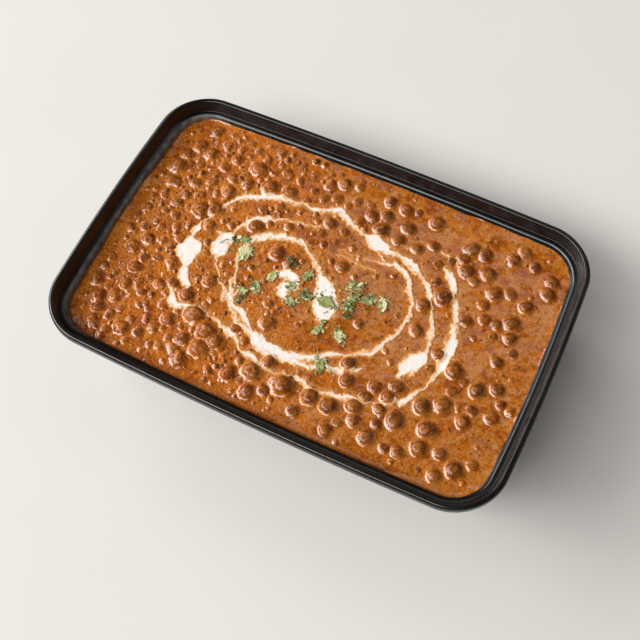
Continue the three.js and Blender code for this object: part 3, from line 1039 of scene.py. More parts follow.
    def trace(self, spacing: float, stray: bool) -> Array:
        """Return samples a given distance apart along the rings, and if asked the stray lines."""
        strokes = self.rings + self.stray if stray else self.rings
        return np.vstack([self.curve(stroke, spacing) for stroke in strokes])


# ---- Coriander places ----


@dataclass(frozen=True)
class LeafSpot:
    """Where a chopped leaf lies: its middle, length, width and turn in degrees."""

    x: float
    y: float
    length: float
    width: float
    turn: float
    shade: float


LEAF_SPOTS = tuple(LeafSpot(*row) for row in (
    (4.2, -3.5, 8.6, 4.8, -4, 0.42), (-31, 2.4, 6.2, 5.4, 70, 0.85),
    (-33.6, 7.4, 4.6, 3, 20, 0.6), (-21.2, -8.6, 4.8, 3.8, -50, 0.75),
    (-24.6, -11.6, 4.2, 2.8, 15, 0.7), (-9.8, -3.4, 4.6, 3.2, 40, 0.6),
    (-7.2, -8.2, 4.4, 3, -20, 0.65), (-3.4, -3.4, 5.2, 3.6, 10, 0.15),
    (-6.2, 3.6, 4.8, 2.8, 75, 0.45), (-18, -2, 4.4, 3.4, 60, 0.8),
    (11, 6.8, 5.8, 3.2, -10, 0.6), (12.4, 2.2, 5, 3.6, 25, 0.55),
    (18, 4.2, 5.4, 4, 80, 0.55), (22.6, 4.4, 5, 3.4, -40, 0.8),
    (12.2, -2, 4.8, 3, -15, 0.35), (6.6, -13.4, 5.6, 3, 80, 0.55),
    (14, -12.8, 4.8, 3.6, -35, 0.85), (12.6, -25.2, 6, 4, -55, 0.45),
))


# ---- Lentils ----


@dataclass
class Lentil:
    """One lentil, sunk in the stew so that its top stands out."""

    x: float
    y: float
    width: float
    along: float = 1.0
    across: float = 1.0
    turn: float = 0.0
    rise: float = 0.5
    coat: float = 0.1
    skin: float = 1.0


@dataclass
class LentilBed:
    """Places of the lentils: the plainest ones, then a seeded scatter, the largest first.

    Those numbered from standing on are too low for the solid and lie on the grainy side.
    """

    strokes: Strokes
    total: int = 290
    standing: int = 190
    largest: float = 7.2
    smallest: float = 3.6
    spacing: float = 0.8
    rises: Pair = (0.14, 0.62)
    low_rises: Pair = (0.08, 0.26)
    stretches: Pair = (0.94, 1.06)
    coats: Pair = (-0.04, 0.30)
    skins: Pair = (0.45, 1.0)
    plain_power: float = 0.4
    thick_power: float = 1.4
    smooth_power: float = 0.8
    seed: int = 20417
    tries: int = 30000
    half_length: float = 78.0
    half_width: float = 49.0
    corner: float = 13.0
    swirl: Pair = (52.0, 34.0)
    swirl_edge: Pair = (0.78, 1.08)
    sparse: float = 0.16
    thin: Triple = (0.5, -25.0, 25.0)
    loose: float = 0.3
    clumps: Waves = Waves(6.3, 5.1, 4.3, 4.3, 1.1, 0.0)
    clumped: Pair = (-0.35, 0.45)
    leaf_clearance: float = 0.3
    cream_clearance: float = 1.0
    cream_spacing: float = 1.5
    large: tuple = (
        (-35.8, -27.3, 8.4), (-28.6, -31.2, 7.2), (-27.4, -38.2, 8.2), (-41.6, -21.6, 6.6),
        (4.6, -38, 7.6), (21.8, -37.8, 7.2), (29.6, -34.4, 6.6), (44, -33.2, 8),
        (55, -31.6, 7.2), (18.4, 36.6, 7.4), (40.8, 16, 6.6), (35.6, 10.4, 5.6),
        (-8.4, 26.6, 7.4), (-43.4, 36.6, 7.4), (51.4, 31, 6.8), (24.6, 30.2, 5.6),
        (57, 14, 6.2), (54.8, -8.4, 6.6), (-17.2, -8, 5.6), (-11, -19.2, 6),
        (-37.2, -13, 5.6), (3.4, 12.2, 5.6), (15.8, 9.4, 5.2), (-20.2, 7.4, 5.8),
    )

    def share(self, x: float, y: float) -> float:
        """Return the share of lentils tried at a place that stay there."""
        reach = math.hypot(x / self.swirl[0], y / self.swirl[1])
        outer = self.sparse + (1 - self.sparse) * smoothstep(*self.swirl_edge, reach)
        share, low, high = self.thin
        thinned = outer * (1 - (1 - share) * smoothstep(low, high, x))
        clump = smoothstep(*self.clumped, self.clumps.at(x, y))
        return thinned * (self.loose + (1 - self.loose) * clump)

    def places(self) -> list[Lentil]:
        """Return every place and width, in the order in which they were found."""
        stream = RandomStream(self.seed)
        cream = self.strokes.trace(self.cream_spacing, stray=False)
        spots = [list(spot) for spot in self.large]
        for _ in range(self.tries):
            if len(spots) >= self.total:
                break
            step = len(spots) / self.total
            width = self.largest + (self.smallest - self.largest) * step
            x = (2 * stream.next() - 1) * self.half_length
            y = (2 * stream.next() - 1) * self.half_width
            draw = stream.next()
            share = self.share(x, y)
            if len(spots) >= self.standing:
                share *= smoothstep(self.thin[2], self.thin[1], x)
            margin = rounded_margin(x, y, (self.half_length, self.half_width), self.corner)
            if draw >= share or margin <= width / 2:
                continue
            known = np.array(spots)
            apart = np.hypot(known[:, 0] - x, known[:, 1] - y)
            if np.any(apart < self.spacing * (known[:, 2] + width) / 2):
                continue
            gap = np.hypot(cream[:, 0] - x, cream[:, 1] - y) - cream[:, 2] / 2
            if np.min(gap) >= self.cream_clearance:
                spots.append([x, y, width])
        return [Lentil(*spot) for spot in spots]

    def power(self, x: float) -> float:
        """Return how strongly low rises outnumber high ones at a place."""
        smooth = smoothstep(self.thin[1], self.thin[2], x)
        return self.thick_power + (self.smooth_power - self.thick_power) * smooth

    def lay(self) -> list[Lentil]:
        """Return the lentils with their shapes, clear of the leaves."""
        shapes = RandomStream(self.seed + 1)
        fine = RandomStream(self.seed + 2)
        kept: list[Lentil] = []
        for number, lentil in enumerate(self.places()):
            radius = lentil.width / 2
            if any(math.hypot(leaf.x - lentil.x, leaf.y - lentil.y)
                   < leaf.length / 2 + radius + self.leaf_clearance for leaf in LEAF_SPOTS):
                continue
            lentil.along = shapes.between(*self.stretches)
            lentil.across = shapes.between(*self.stretches)
            lentil.turn = shapes.next() * math.pi
            power = self.power(lentil.x)
            if number < len(self.large):
                power = self.plain_power
            draw = shapes.next() ** power
            low, high = self.rises
            lentil.rise = low + (high - low) * draw
            if number >= self.standing:
                lentil.rise = fine.between(*self.low_rises)
            lentil.coat = fine.between(*self.coats)
            lentil.skin = fine.between(*self.skins)
            kept.append(lentil)
        return kept


# ---- Surface of the stew ----


@dataclass
class StewSurface:
    """Height of the stew and what lies at each place of it.

    A ripple is its seed and cell, its depth, and what graininess adds to that.
    """

    shape: TubShape
    lentils: list[Lentil]
    strokes: Strokes
    level: float = 32.8
    swell: float = 0.25
    edge_climb: float = 0.9
    climb_band: Pair = (40.0, 49.0)
    waves: Waves = Waves(13.0, 11.0, 7.5, 9.0, 0.7, -0.4)
    smoother: float = 0.62
    smoother_band: Pair = (-30.0, 22.0)
    smoother_lean: float = 0.25
    flatness: float = 0.95
    film: float = 0.22
    contact: float = 0.37
    meniscus_slope: float = 0.68
    meniscus_straight: float = 0.45
    meniscus_fade: float = 1.1
    skirt_reach: float = 3.4
    uneven: Pair = (0.14, 0.44)
    shown_band: Pair = (0.05, -0.10)
    least_shown: float = 0.4
    blend: float = 3.0
    shared_lift: float = 0.15
    ripples: tuple = ((11, 6.5, 0.10, 0.0), (12, 2.6, 0.03, 0.10), (13, 1.15, 0.02, 0.06))
    wall_climb: Triple = (0.35, 0.45, 0.8)
    cream_height: float = 0.22
    cream_spacing: float = 0.45
    cream_reach: float = 3.0
    cream_push: Pair = (0.80, 0.60)
    cream_shies: float = 1.3
    cream_band: Pair = (0.4, -0.5)
    cream_smooths: float = 0.7
    cream_hides: float = 0.8
    crumb_seed: int = 881
    crumb_count: int = 1150
    crumb_radii: Triple = (0.36, 1.15, 2.4)
    crumb_rises: Pair = (0.12, 0.62)
    crumb_uneven: float = 0.2
    crumb_flatness: float = 0.9
    crumb_reach: float = 1.6
    wall_growth: float = 0.7
    wall_band: Pair = (4.5, 1.5)
    wall_gap: float = 0.7
    pit_count: int = 90
    pit_reach: float = 2.0
    pit_rim: Triple = (0.16, 0.8, 0.3)
    pit_hole: Pair = (0.3, 0.5)
    crumbs: Array = field(init=False)
    pits: Array = field(init=False)

    def __post_init__(self) -> None:
        """Draw the ripples, the crumbs and the pits."""
        self._ripples = [Ripple(seed, cell) for seed, cell, _, _ in self.ripples]
        self._wall = Ripple(14, 5.0)
        self._dent = (Ripple(21, 2.8), Ripple(22, 2.8), Ripple(23, 0.9), Ripple(24, 0.9))
        self._pour = (Ripple(15, 3.4), Ripple(16, 3.4), Ripple(17, 1.25), Ripple(18, 1.25))
        self._samples = self.strokes.trace(self.cream_spacing, stray=True)
        self.crumbs = self.draw_crumbs()
        self.pits = self.scatter(self.pit_count, self.crumb_seed + 5, Spread.EVEN)

    def draw_crumbs(self) -> Array:
        """Return x, y, radius and height share of the crumbs that swell the surface."""
        places = self.scatter(self.crumb_count, self.crumb_seed, Spread.GRAINY)
        rng = np.random.default_rng(self.crumb_seed + 1)
        by_wall = smoothstep(*self.wall_band, self.wall_margin(places[:, 0], places[:, 1]))
        least, more, power = self.crumb_radii
        radius = least + more * rng.random(len(places)) ** power
        radius *= 1 + self.wall_growth * by_wall
        tall = rng.uniform(*self.crumb_rises, len(places))
        return np.column_stack((places, radius, tall))

    def scatter(self, count: int, seed: int, spread: Spread) -> Array:
        """Return random places on the stew.

        Args:
            count: How many.
            seed: Makes them repeatable.
            spread: Even, or thinning out towards +X as the stew gets smoother.

        Returns:
            One row for each place: x and y.
        """
        rng = np.random.default_rng(seed)
        inset = self.shape.inner_inset(self.level)
        half_length, half_width = self.shape.half_sizes(inset + self.wall_gap)
        found: list[Array] = []
        while sum(len(part) for part in found) < count:
            x = rng.uniform(-half_length, half_length, count)
            y = rng.uniform(-half_width, half_width, count)
            inside = rounded_margin(x, y, (half_length, half_width), self.shape.corner(inset)) > 0
            if spread is Spread.GRAINY:
                inside &= rng.random(count) < self.graininess(x, y)
            found.append(np.column_stack((x, y))[inside])
        return np.vstack(found)[:count]

    def graininess(self, x: Array, y: Array) -> Array:
        """Return how grainy the stew is at each place, from 0 to 1."""
        across = x + self.smoother_lean * y
        return 1.0 - self.smoother * smoothstep(*self.smoother_band, across)

    def bare(self, x: Array, y: Array) -> Array:
        """Return the height of the bare surface, the same as the solid's."""
        climb = self.edge_climb * smoothstep(*self.climb_band, y)
        return self.level + self.swell * self.waves.at(x, y) + climb

    def sunk(self, share: Array, radius: float, height: float, rise: float
             ) -> tuple[Array, float]:
        """Return the lift over a sunk rounded body, with gravy drawn up round its foot.

        Args:
            share: Distance from its middle as a share of its radius.
            radius: Its radius in plan.
            height: Its radius upright.
            rise: How far it stands out.

        Returns:
            The lift, and the share at which the gravy leaves it.
        """
        foot = self.contact * rise
        contact = math.sqrt(1 - ((foot - rise + height) / height) ** 2)
        cap = rise - height + height * np.sqrt(1 - np.minimum(share, contact) ** 2)
        straight = self.meniscus_straight * foot / self.meniscus_slope
        fading = self.meniscus_fade * foot / self.meniscus_slope
        beyond = np.maximum(share - contact, 0) * radius
        out = np.clip(beyond - straight, 0, fading)
        drop = np.minimum(beyond, straight) + out - out ** 2 / (2 * fading)
        skirt = np.maximum(foot - self.meniscus_slope * drop, 0)
        return np.where(share < contact, cap, skirt), contact

    def over_lentils(self, x: Array, y: Array) -> tuple[Array, Array, Array]:
        """Return how far the gravy's film over the lentils lifts the surface.

        Args:
            x: Places along the tub.
            y: Places across it.

        Returns:
            The lift, how near to a lentil's top each place is from 0 to 1, and the same less
            what the gravy hides of its skin.
        """
        lift = np.zeros(len(x))
        top = np.zeros(len(x))
        skin = np.zeros(len(x))
        least, more = self.uneven
        uneven = least + more * self.graininess(x, y) ** 2
        places = Nearby(x + uneven * self._dent[0].at(x, y), y + uneven * self._dent[1].at(x, y))
        for lentil in self.lentils:
            radius = lentil.width / 2 + self.film
            reach = radius * LentilBed.stretches[1] + self.skirt_reach
            near = places.within(lentil.x, lentil.y, reach)
            dx = places.x[near] - lentil.x
            dy = places.y[near] - lentil.y
            along = dx * math.cos(lentil.turn) + dy * math.sin(lentil.turn)
            across = dy * math.cos(lentil.turn) - dx * math.sin(lentil.turn)
            share = np.hypot(along / lentil.along, across / lentil.across) / radius
            height = self.flatness * radius
            rise = lentil.rise * lentil.width / 2 + lentil.coat
            bump, contact = self.sunk(share, radius, height, rise)
            lift[near] += bump ** self.blend
            outer, inner = (contact + band for band in self.shown_band)
            shown = smoothstep(outer, inner, share) * (rise > self.least_shown)
            top[near] = np.maximum(top[near], shown)
            skin[near] = np.maximum(skin[near], shown * lentil.skin)
        return lift ** (1 / self.blend), top, skin

    def over_crumbs(self, x: Array, y: Array) -> Array:
        """Return how far the crumbs under the film and the rims of pits lift the surface.

        Args:
            x: Places along X.
            y: Places along Y.

        Returns:
            Heights, negative in a pit.
        """
        lift = np.zeros(len(x))
        uneven = self.crumb_uneven
        places = Nearby(x + uneven * self._dent[2].at(x, y), y + uneven * self._dent[3].at(x, y))
        for crumb_x, crumb_y, radius, tall in self.crumbs:
            near = places.within(crumb_x, crumb_y, self.crumb_reach * radius)
            share = np.hypot(places.x[near] - crumb_x, places.y[near] - crumb_y) / radius
            bump = self.sunk(share, radius, self.crumb_flatness * radius, tall * radius)[0]
            lift[near] = np.maximum(lift[near], bump)
        rim_height, rim_radius, rim_width = self.pit_rim
        depth, hole = self.pit_hole
        for pit_x, pit_y in self.pits:
            near = places.within(pit_x, pit_y, self.pit_reach)
            away = np.hypot(places.x[near] - pit_x, places.y[near] - pit_y)
            rim = rim_height * np.exp(-((away - rim_radius) / rim_width) ** 2)
            lift[near] += rim - depth * np.exp(-(away / hole) ** 2)
        return lift

    def cream_distance(self, x: Array, y: Array, top: Array) -> Array:
        """Return the distance from the cream's edge, negative inside it.

        Args:
            x: Places along the tub.
            y: Places across it.
            top: How near to a lentil's top each place is; cream runs round lentils.

        Returns:
            Distances, longer than the cream's reach only over lentils.
        """
        broad_x, broad_y, fine_x, fine_y = self._pour
        push, fine_push = self.cream_push
        pushed_x = x + push * broad_x.at(x, y) + fine_push * fine_x.at(x, y)
        pushed_y = y + push * broad_y.at(x, y) + fine_push * fine_y.at(x, y)
        nearest = np.full(len(x), self.cream_reach)
        places = Nearby(pushed_x, pushed_y)
        for sample_x, sample_y, width in self._samples:
            half = width / 2
            near = places.within(sample_x, sample_y, half + self.cream_reach)
            apart = np.hypot(pushed_x[near] - sample_x, pushed_y[near] - sample_y) - half
            nearest[near] = np.minimum(nearest[near], apart)
        return nearest + self.cream_shies * top

    def wall_margin(self, x: Array, y: Array) -> Array:
        """Return roughly how far each place is from the tub's wall."""
        inset = self.shape.inner_inset(self.level)
        half_length = self.shape.length / 2 - inset
        half_width = self.shape.width / 2 - inset
        across = half_width - self.shape.side_bow * (x / half_length) ** 2
        along = half_length - self.shape.end_bow * (y / half_width) ** 2
        return rounded_margin(x, y, (along, across), self.shape.corner(inset))

    def survey(self, x: Array, y: Array) -> dict[str, Array]:
        """Return what the stew is like at each place.

        Args:
            x: Places along the tub.
            y: Places across it.

        Returns:
            Arrays named height, cream_distance, lentil_rise, lentil_skin and graininess.
        """
        lift, top, skin = self.over_lentils(x, y)
        cream = self.cream_distance(x, y, top)
        margin = np.maximum(self.wall_margin(x, y), 0)
        grainy = self.graininess(x, y)
        covered = smoothstep(*self.cream_band, cream)
        crumbs = self.over_crumbs(x, y) * (1 - self.cream_hides * covered)
        ripple = sum((smooth + grain * grainy) * relief.at(x, y)
                     for (_, _, smooth, grain), relief in zip(self.ripples, self._ripples))
        mean, uneven, fade = self.wall_climb
        climb = (mean + uneven * self._wall.at(x, y)) * np.exp(-margin / fade)
        height = self.bare(x, y) + np.maximum(lift, crumbs)
        height += self.shared_lift * np.minimum(lift, crumbs)
        height += ripple * (1 - self.cream_smooths * covered)
        height += self.cream_height * covered + climb
        return {"height": height, "cream_distance": cream, "lentil_rise": top,
                "lentil_skin": skin, "graininess": grainy}

    def height(self, x: Array, y: Array) -> Array:
        """Return the height of the finished surface at each place."""
        return self.survey(np.asarray(x, dtype=float), np.asarray(y, dtype=float))["height"]


# ---- Stew ----


@dataclass
class Stew:
    """The gravy with everything under its film, and the cream that lies on it."""

    surface: StewSurface
    spacing: float = 0.30
    corner_rows: int = 40
    wall_overlap: float = 0.12
    floor_gap: float = 0.3
    foot_rings: int = 4
    cream_limit: float = 0.34
    cream_full: float = -0.1
    cream_crown: float = 0.075
    cream_sunk: float = 0.03
    cream_thickness: float = 0.3
    points: Array = field(init=False)
    facts: dict = field(init=False)
    quads: Array = field(init=False)
    shape_of_grid: tuple[int, int] = field(init=False)

    def rows(self) -> tuple[Array, Array]:
        """Return, for each row of the grid, its place on the straight part and its turn."""
        inset = self.surface.shape.inner_inset(self.surface.level)
        half_width = self.surface.shape.half_sizes(inset)[1]
        straight = 2 * (half_width - self.surface.shape.corner(inset))
        count = math.ceil(straight / self.spacing)
        middle = np.linspace(-1, 1, count + 1)
        turn = np.linspace(0, math.pi / 2, self.corner_rows + 1)[1:]
        place = np.concatenate((np.full(len(turn), -1.0), middle, np.full(len(turn), 1.0)))
        angle = np.concatenate((-turn[::-1], np.zeros(len(middle)), turn))
        return place, angle

    def plan(self, place: Array, angle: Array, share: Array, inset: float
             ) -> tuple[Array, Array]:
        """Return x and y of grid points, by their row's place and turn and their share of it."""
        shape = self.surface.shape
        half_length, half_width = shape.half_sizes(inset)
        radius = shape.corner(inset)
        y = place * (half_width - radius) + radius * np.sin(angle)
        half = half_length - radius + radius * np.cos(angle)
        return shape.bowed(share * half, y, inset)

    def lay_grid(self) -> None:
        """Work out the points of the surface."""
        shape = self.surface.shape
        inset = shape.inner_inset(self.surface.level) - self.wall_overlap
        place, angle = self.rows()
        columns = 2 * math.ceil(shape.half_sizes(inset)[0] / self.spacing) + 1
        share = np.linspace(-1, 1, columns)
        all_place = np.repeat(place, columns)
        all_angle = np.repeat(angle, columns)
        all_share = np.tile(share, len(place))
        x, y = self.plan(all_place, all_angle, all_share, inset)
        self.facts = self.surface.survey(x, y)
        self.points = np.column_stack((x, y, self.facts["height"]))
        self.shape_of_grid = (len(place), columns)
        self.quads = grid_faces(len(place), columns)
        self._grid = (all_place, all_angle, all_share)

    def normals(self) -> Array:
        """Return the surface's normal at each point, worked out over both halves at once."""
        rows, columns = self.shape_of_grid
        grid = self.points.reshape(rows, columns, 3)
        normal = np.cross(np.gradient(grid, axis=1), np.gradient(grid, axis=0)).reshape(-1, 3)
        return normal / np.linalg.norm(normal, axis=1, keepdims=True)

    def build(self) -> list[Piece]:
        """Make and dress the gravy, in two halves that meet in the middle of the tub."""
        self.lay_grid()
        last = self.shape_of_grid[1] - 1
        middle = last // 2
        normals = self.normals()
        material = Gravy().build()
        return [
            self.build_half("dal_gravy_left", 0, middle, normals, material),
            self.build_half("dal_gravy_right", middle, last, normals, material),
        ]

    def build_half(self, name: str, first: int, last: int, normals: Array,
                   material: Material) -> Piece:
        """Make and dress one half of the gravy, closed all round.

        Args:
            name: Name of the piece.
            first: First column of the grid in it.
            last: Last column.
            normals: Normal of every point of the grid.
            material: Its finish.

        Returns:
            The piece.
        """
        rows, columns = self.shape_of_grid
        wide = last - first + 1
        kept = (np.arange(rows)[:, None] * columns + np.arange(first, last + 1)).ravel()
        faces = grid_faces(rows, wide).tolist()
        border = np.concatenate((
            np.arange(wide - 1),
            np.arange(rows - 1) * wide + wide - 1,
            (rows - 1) * wide + np.arange(wide - 1, 0, -1),
            np.arange(rows - 1, 0, -1) * wide,
        ))
        place, angle, share = (values[kept][border] for values in self._grid)
        shape = self.surface.shape
        floor = shape.floor_thickness + self.floor_gap
        start = floor + shape.floor_round
        parts = [self.points[kept]]
        upper = border
        total = len(kept)
        for turn in np.linspace(0, math.pi / 2, self.foot_rings):
            inset = shape.inner_inset(start) + self.floor_gap
            inset += shape.floor_round * (1 - math.cos(turn))
            x, y = self.plan(place, angle, share, inset)
            z = np.full(len(x), start - shape.floor_round * math.sin(turn))
            parts.append(np.column_stack((x, y, z)))
            lower = total + np.arange(len(border))
            around = (upper, lower, np.roll(lower, -1), np.roll(upper, -1))
            faces += np.column_stack(around).tolist()
            upper = lower
            total += len(border)
        parts.append(np.array([[np.mean(x), 0.0, floor]]))
        faces += [(int(a), total, int(b)) for a, b in zip(upper, np.roll(upper, -1))]
        piece = make_piece(name, np.vstack(parts), faces)
        extra = len(piece.data.vertices) - len(kept)
        for fact in ("cream_distance", "lentil_rise", "lentil_skin", "graininess"):
            fill = self.surface.cream_reach if fact == "cream_distance" else 0.0
            paint(piece, fact, np.concatenate((self.facts[fact][kept], np.full(extra, fill))))
        bent = np.vstack((normals[kept], np.zeros((extra, 3))))
        piece.data.normals_split_custom_set_from_vertices(bent.tolist())
        dress(piece, material)
        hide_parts("dal")
        return piece

    def build_cream(self) -> Piece:
        """Make and dress the cream: a thin closed sheet over the gravy under it."""
        distance = self.facts["cream_distance"]
        inside = np.all(distance[self.quads] < self.cream_limit, axis=1)
        quads = self.quads[inside]
        used, numbered = np.unique(quads, return_inverse=True)
        quads = numbered.reshape(quads.shape)
        top = self.points[used].copy()
        crown = self.cream_crown * smoothstep(self.cream_limit, self.cream_full, distance[used])
        top[:, 2] += crown - self.cream_sunk
        under = top - (0.0, 0.0, self.cream_thickness)
        count = len(top)
        faces = quads.tolist() + (quads[:, ::-1] + count).tolist()
        edges = np.vstack([quads[:, [i, (i + 1) % 4]] for i in range(4)])
        keys = {(int(a), int(b)) for a, b in edges}
        faces += [(b, a, a + count, b + count) for a, b in keys if (b, a) not in keys]
        piece = make_piece("poured_cream", np.vstack((top, under)), faces)
        paint(piece, "cream_distance", np.tile(distance[used], 2))
        dress(piece, CreamFinish().build())
        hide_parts("dal")
        return piece


# ---- Scattered bodies ----


@dataclass
class RoundedBodies:
    """Copies of a rounded body on given places, roughened, made by Geometry Nodes."""

    name: str
    material: Material
    slot: Slot
    detail: int = 1
    roughen: float = 0.1
    roughen_size: float = 1.0
    seed: int = 1

    def tree(self) -> Tree:
        """Return the node tree, with an input for each size."""
        kinds = {"Detail": "Int", "Roughen": "Float", "Roughen Size": "Float", "Seed": "Float"}
        tree, board, given = start_tree(f"{self.name}_bodies", kinds)
        body = board.step("GeometryNodeMeshIcoSphere",
                          {"Radius": 1.0, "Subdivisions": given["Detail"]})
        size, turn = (board.step("GeometryNodeInputNamedAttribute", {"Name": name},
                                 data_type="FLOAT_VECTOR") for name in ("size", "turn"))
        copies = board.step("GeometryNodeInstanceOnPoints", {
            "Points": given["Geometry"],
            "Instance": body,
            "Rotation": board.step("FunctionNodeEulerToRotation", {0: turn}),
            "Scale": size,
        })
        real = board.step("GeometryNodeRealizeInstances", {0: copies})
        place = board.vector("DIVIDE", board.step("GeometryNodeInputPosition", {}),
                             given["Roughen Size"])
        rough = board.step("ShaderNodeTexNoise",
                           {"Vector": place, "W": given["Seed"], "Scale": 1.0},
                           noise_dimensions="4D")
        lift = board.product(board.math("SUBTRACT", rough, 0.5), given["Roughen"])
        offset = board.vector("SCALE", board.step("GeometryNodeInputNormal", {}), lift)
        moved = board.step("GeometryNodeSetPosition", {"Geometry": real, "Offset": offset})
        smooth = board.step("GeometryNodeSetShadeSmooth", {0: moved})
        end_tree(board, smooth, given["Finish"])
        return tree

    def build(self, places: Array, sizes: Array, turns: Array, shades: Array) -> Piece:
        """Make the bodies and dress them.

        Args:
            places: Middle of each body.
            sizes: Its three half sizes.
            turns: Its turn about X, Y and Z.
            shades: Its tone, from 0 to 1.

        Returns:
            One piece with all of them.
        """
        piece = make_piece(self.name, places, [])
        paint(piece, "size", sizes * MM)
        paint(piece, "turn", turns)
        paint(piece, "shade", shades)
        run_tree(piece, self.tree(), {
            "Detail": self.detail,
            "Roughen": self.roughen * MM,
            "Roughen Size": self.roughen_size * MM,
            "Seed": float(self.seed),
            "Finish": self.material,
        })
        dress(piece, self.material)
        return piece


@dataclass(frozen=True)
class FlatBits:
    """Ranges that small flat bits are drawn from.

    The radii are the least, what is added at most, and how strongly small bits outnumber large.
    """

    radii: Triple
    smallest: Triple
    largest: Triple
    tilt: float

    def draw(self, rng: np.random.Generator, count: int) -> tuple[Array, Array]:
        """Return the three half sizes and the turns of each bit."""
        least, more, power = self.radii
        radius = least + more * rng.random(count) ** power
        sizes = radius[:, None] * rng.uniform(self.smallest, self.largest, (count, 3))
        turns = rng.uniform(-self.tilt, self.tilt, (count, 3))
        turns[:, 2] = rng.uniform(0, math.pi, count)
        return sizes, turns


@dataclass
class Lentils:
    """The lentils themselves, their tops just through the film of gravy."""

    surface: StewSurface
    sink: float = 0.16
    shade_seed: int = 31

    def build(self) -> Piece:
        """Make and dress the lentils."""
        beds = self.surface.lentils
        x, y, radius, rise, along, across, turn = np.array([
            (lentil.x, lentil.y, lentil.width / 2, lentil.rise, lentil.along, lentil.across,
             lentil.turn) for lentil in beds]).T
        tall = self.surface.flatness * radius
        sunk = self.sink * self.surface.graininess(x, y)
        z = self.surface.bare(x, y) + rise * radius - tall - sunk
        sizes = np.column_stack((along * radius, across * radius, tall))
        turns = np.column_stack((np.zeros((len(beds), 2)), turn))
        shades = np.random.default_rng(self.shade_seed).random(len(beds))
        bodies = RoundedBodies("whole_lentils", LentilSkin().build(), Slot.STEW, detail=3,
                               roughen=0.35, roughen_size=1.6, seed=5)
        piece = bodies.build(np.column_stack((x, y, z)), sizes, turns, shades)
        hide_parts("dal")
        return piece


@dataclass
class Crumbs:
    """Crumbs of lentil that break the surface, and specks of spice on it."""

    surface: StewSurface
    crumb_seed: int = 41
    crumb_share: Pair = (0.8, 0.22)
    crumb_sink: float = 0.5
    crumb_sizes: Pair = (0.55, 0.9)
    crumbs_clear: Pair = (0.5, 0.3)
    speck_count: int = 4600
    speck_seed: int = 977
    specks_clear: float = 0.3
    specks_on_cream: float = 0.04
    speck_lift: float = 0.02
    speck_bits: FlatBits = FlatBits((0.12, 0.30, 2.5), (0.7, 0.5, 0.30), (1.3, 1.0, 0.6), 0.5)
    speck_shade: float = 0.7

    def build_crumbs(self) -> Piece:
        """Make and dress the crumbs."""
        x, y, radius, _ = self.surface.crumbs.T
        facts = self.surface.survey(x, y)
        rng = np.random.default_rng(self.crumb_seed)
        off_cream, off_lentil = self.crumbs_clear
        open_stew = (facts["cream_distance"] > off_cream) & (facts["lentil_rise"] < off_lentil)
        share, less = self.crumb_share
        open_stew &= rng.random(len(x)) < share * facts["graininess"] - less
        x, y, radius = x[open_stew], y[open_stew], radius[open_stew]
        z = facts["height"][open_stew] - self.crumb_sink * radius
        sizes = radius[:, None] * rng.uniform(*self.crumb_sizes, (len(x), 3))
        turns = rng.uniform(0, math.pi, (len(x), 3))
        bodies = RoundedBodies("lentil_crumbs", CrumbFinish().build(), Slot.STEW, detail=2,
                               roughen=0.35, roughen_size=0.7, seed=6)
        return bodies.build(np.column_stack((x, y, z)), sizes, turns, rng.random(len(x)))

    def build_specks(self) -> Piece:
        """Make and dress the specks."""
        places = self.surface.scatter(self.speck_count, self.speck_seed, Spread.GRAINY)
        facts = self.surface.survey(places[:, 0], places[:, 1])
        rng = np.random.default_rng(self.speck_seed + 1)
        clear = facts["cream_distance"] > self.specks_clear
        clear |= rng.random(len(places)) < self.specks_on_cream
        clear &= rng.random(len(places)) < facts["graininess"]
        places, height = places[clear], facts["height"][clear]
        sizes, turns = self.speck_bits.draw(rng, len(places))
        shades = rng.random(len(places)) ** self.speck_shade
        bodies = RoundedBodies("spice_specks", SpiceFinish().build(), Slot.STEW, detail=1,
                               roughen=0.12, roughen_size=0.25, seed=7)
        return bodies.build(np.column_stack((places, height + self.speck_lift)), sizes, turns,
                            shades)


# ---- Coriander ----


@dataclass(frozen=True)
class Tearing:
    """Ranges that torn scraps are drawn from: tilt and fold either way, lobes and raggedness."""

    tilt: float
    fold: float
    lobes: int
    ragged: float


@dataclass
class Blade:
    """One scrap of leaf: where it lies, how it is turned and bent, and its tone."""

    x: float
    y: float
    length: float
    width: float
    turn: float
    tilt: float
    fold: float
    lift: float
    shade: float
    lobes: int
    ragged: float


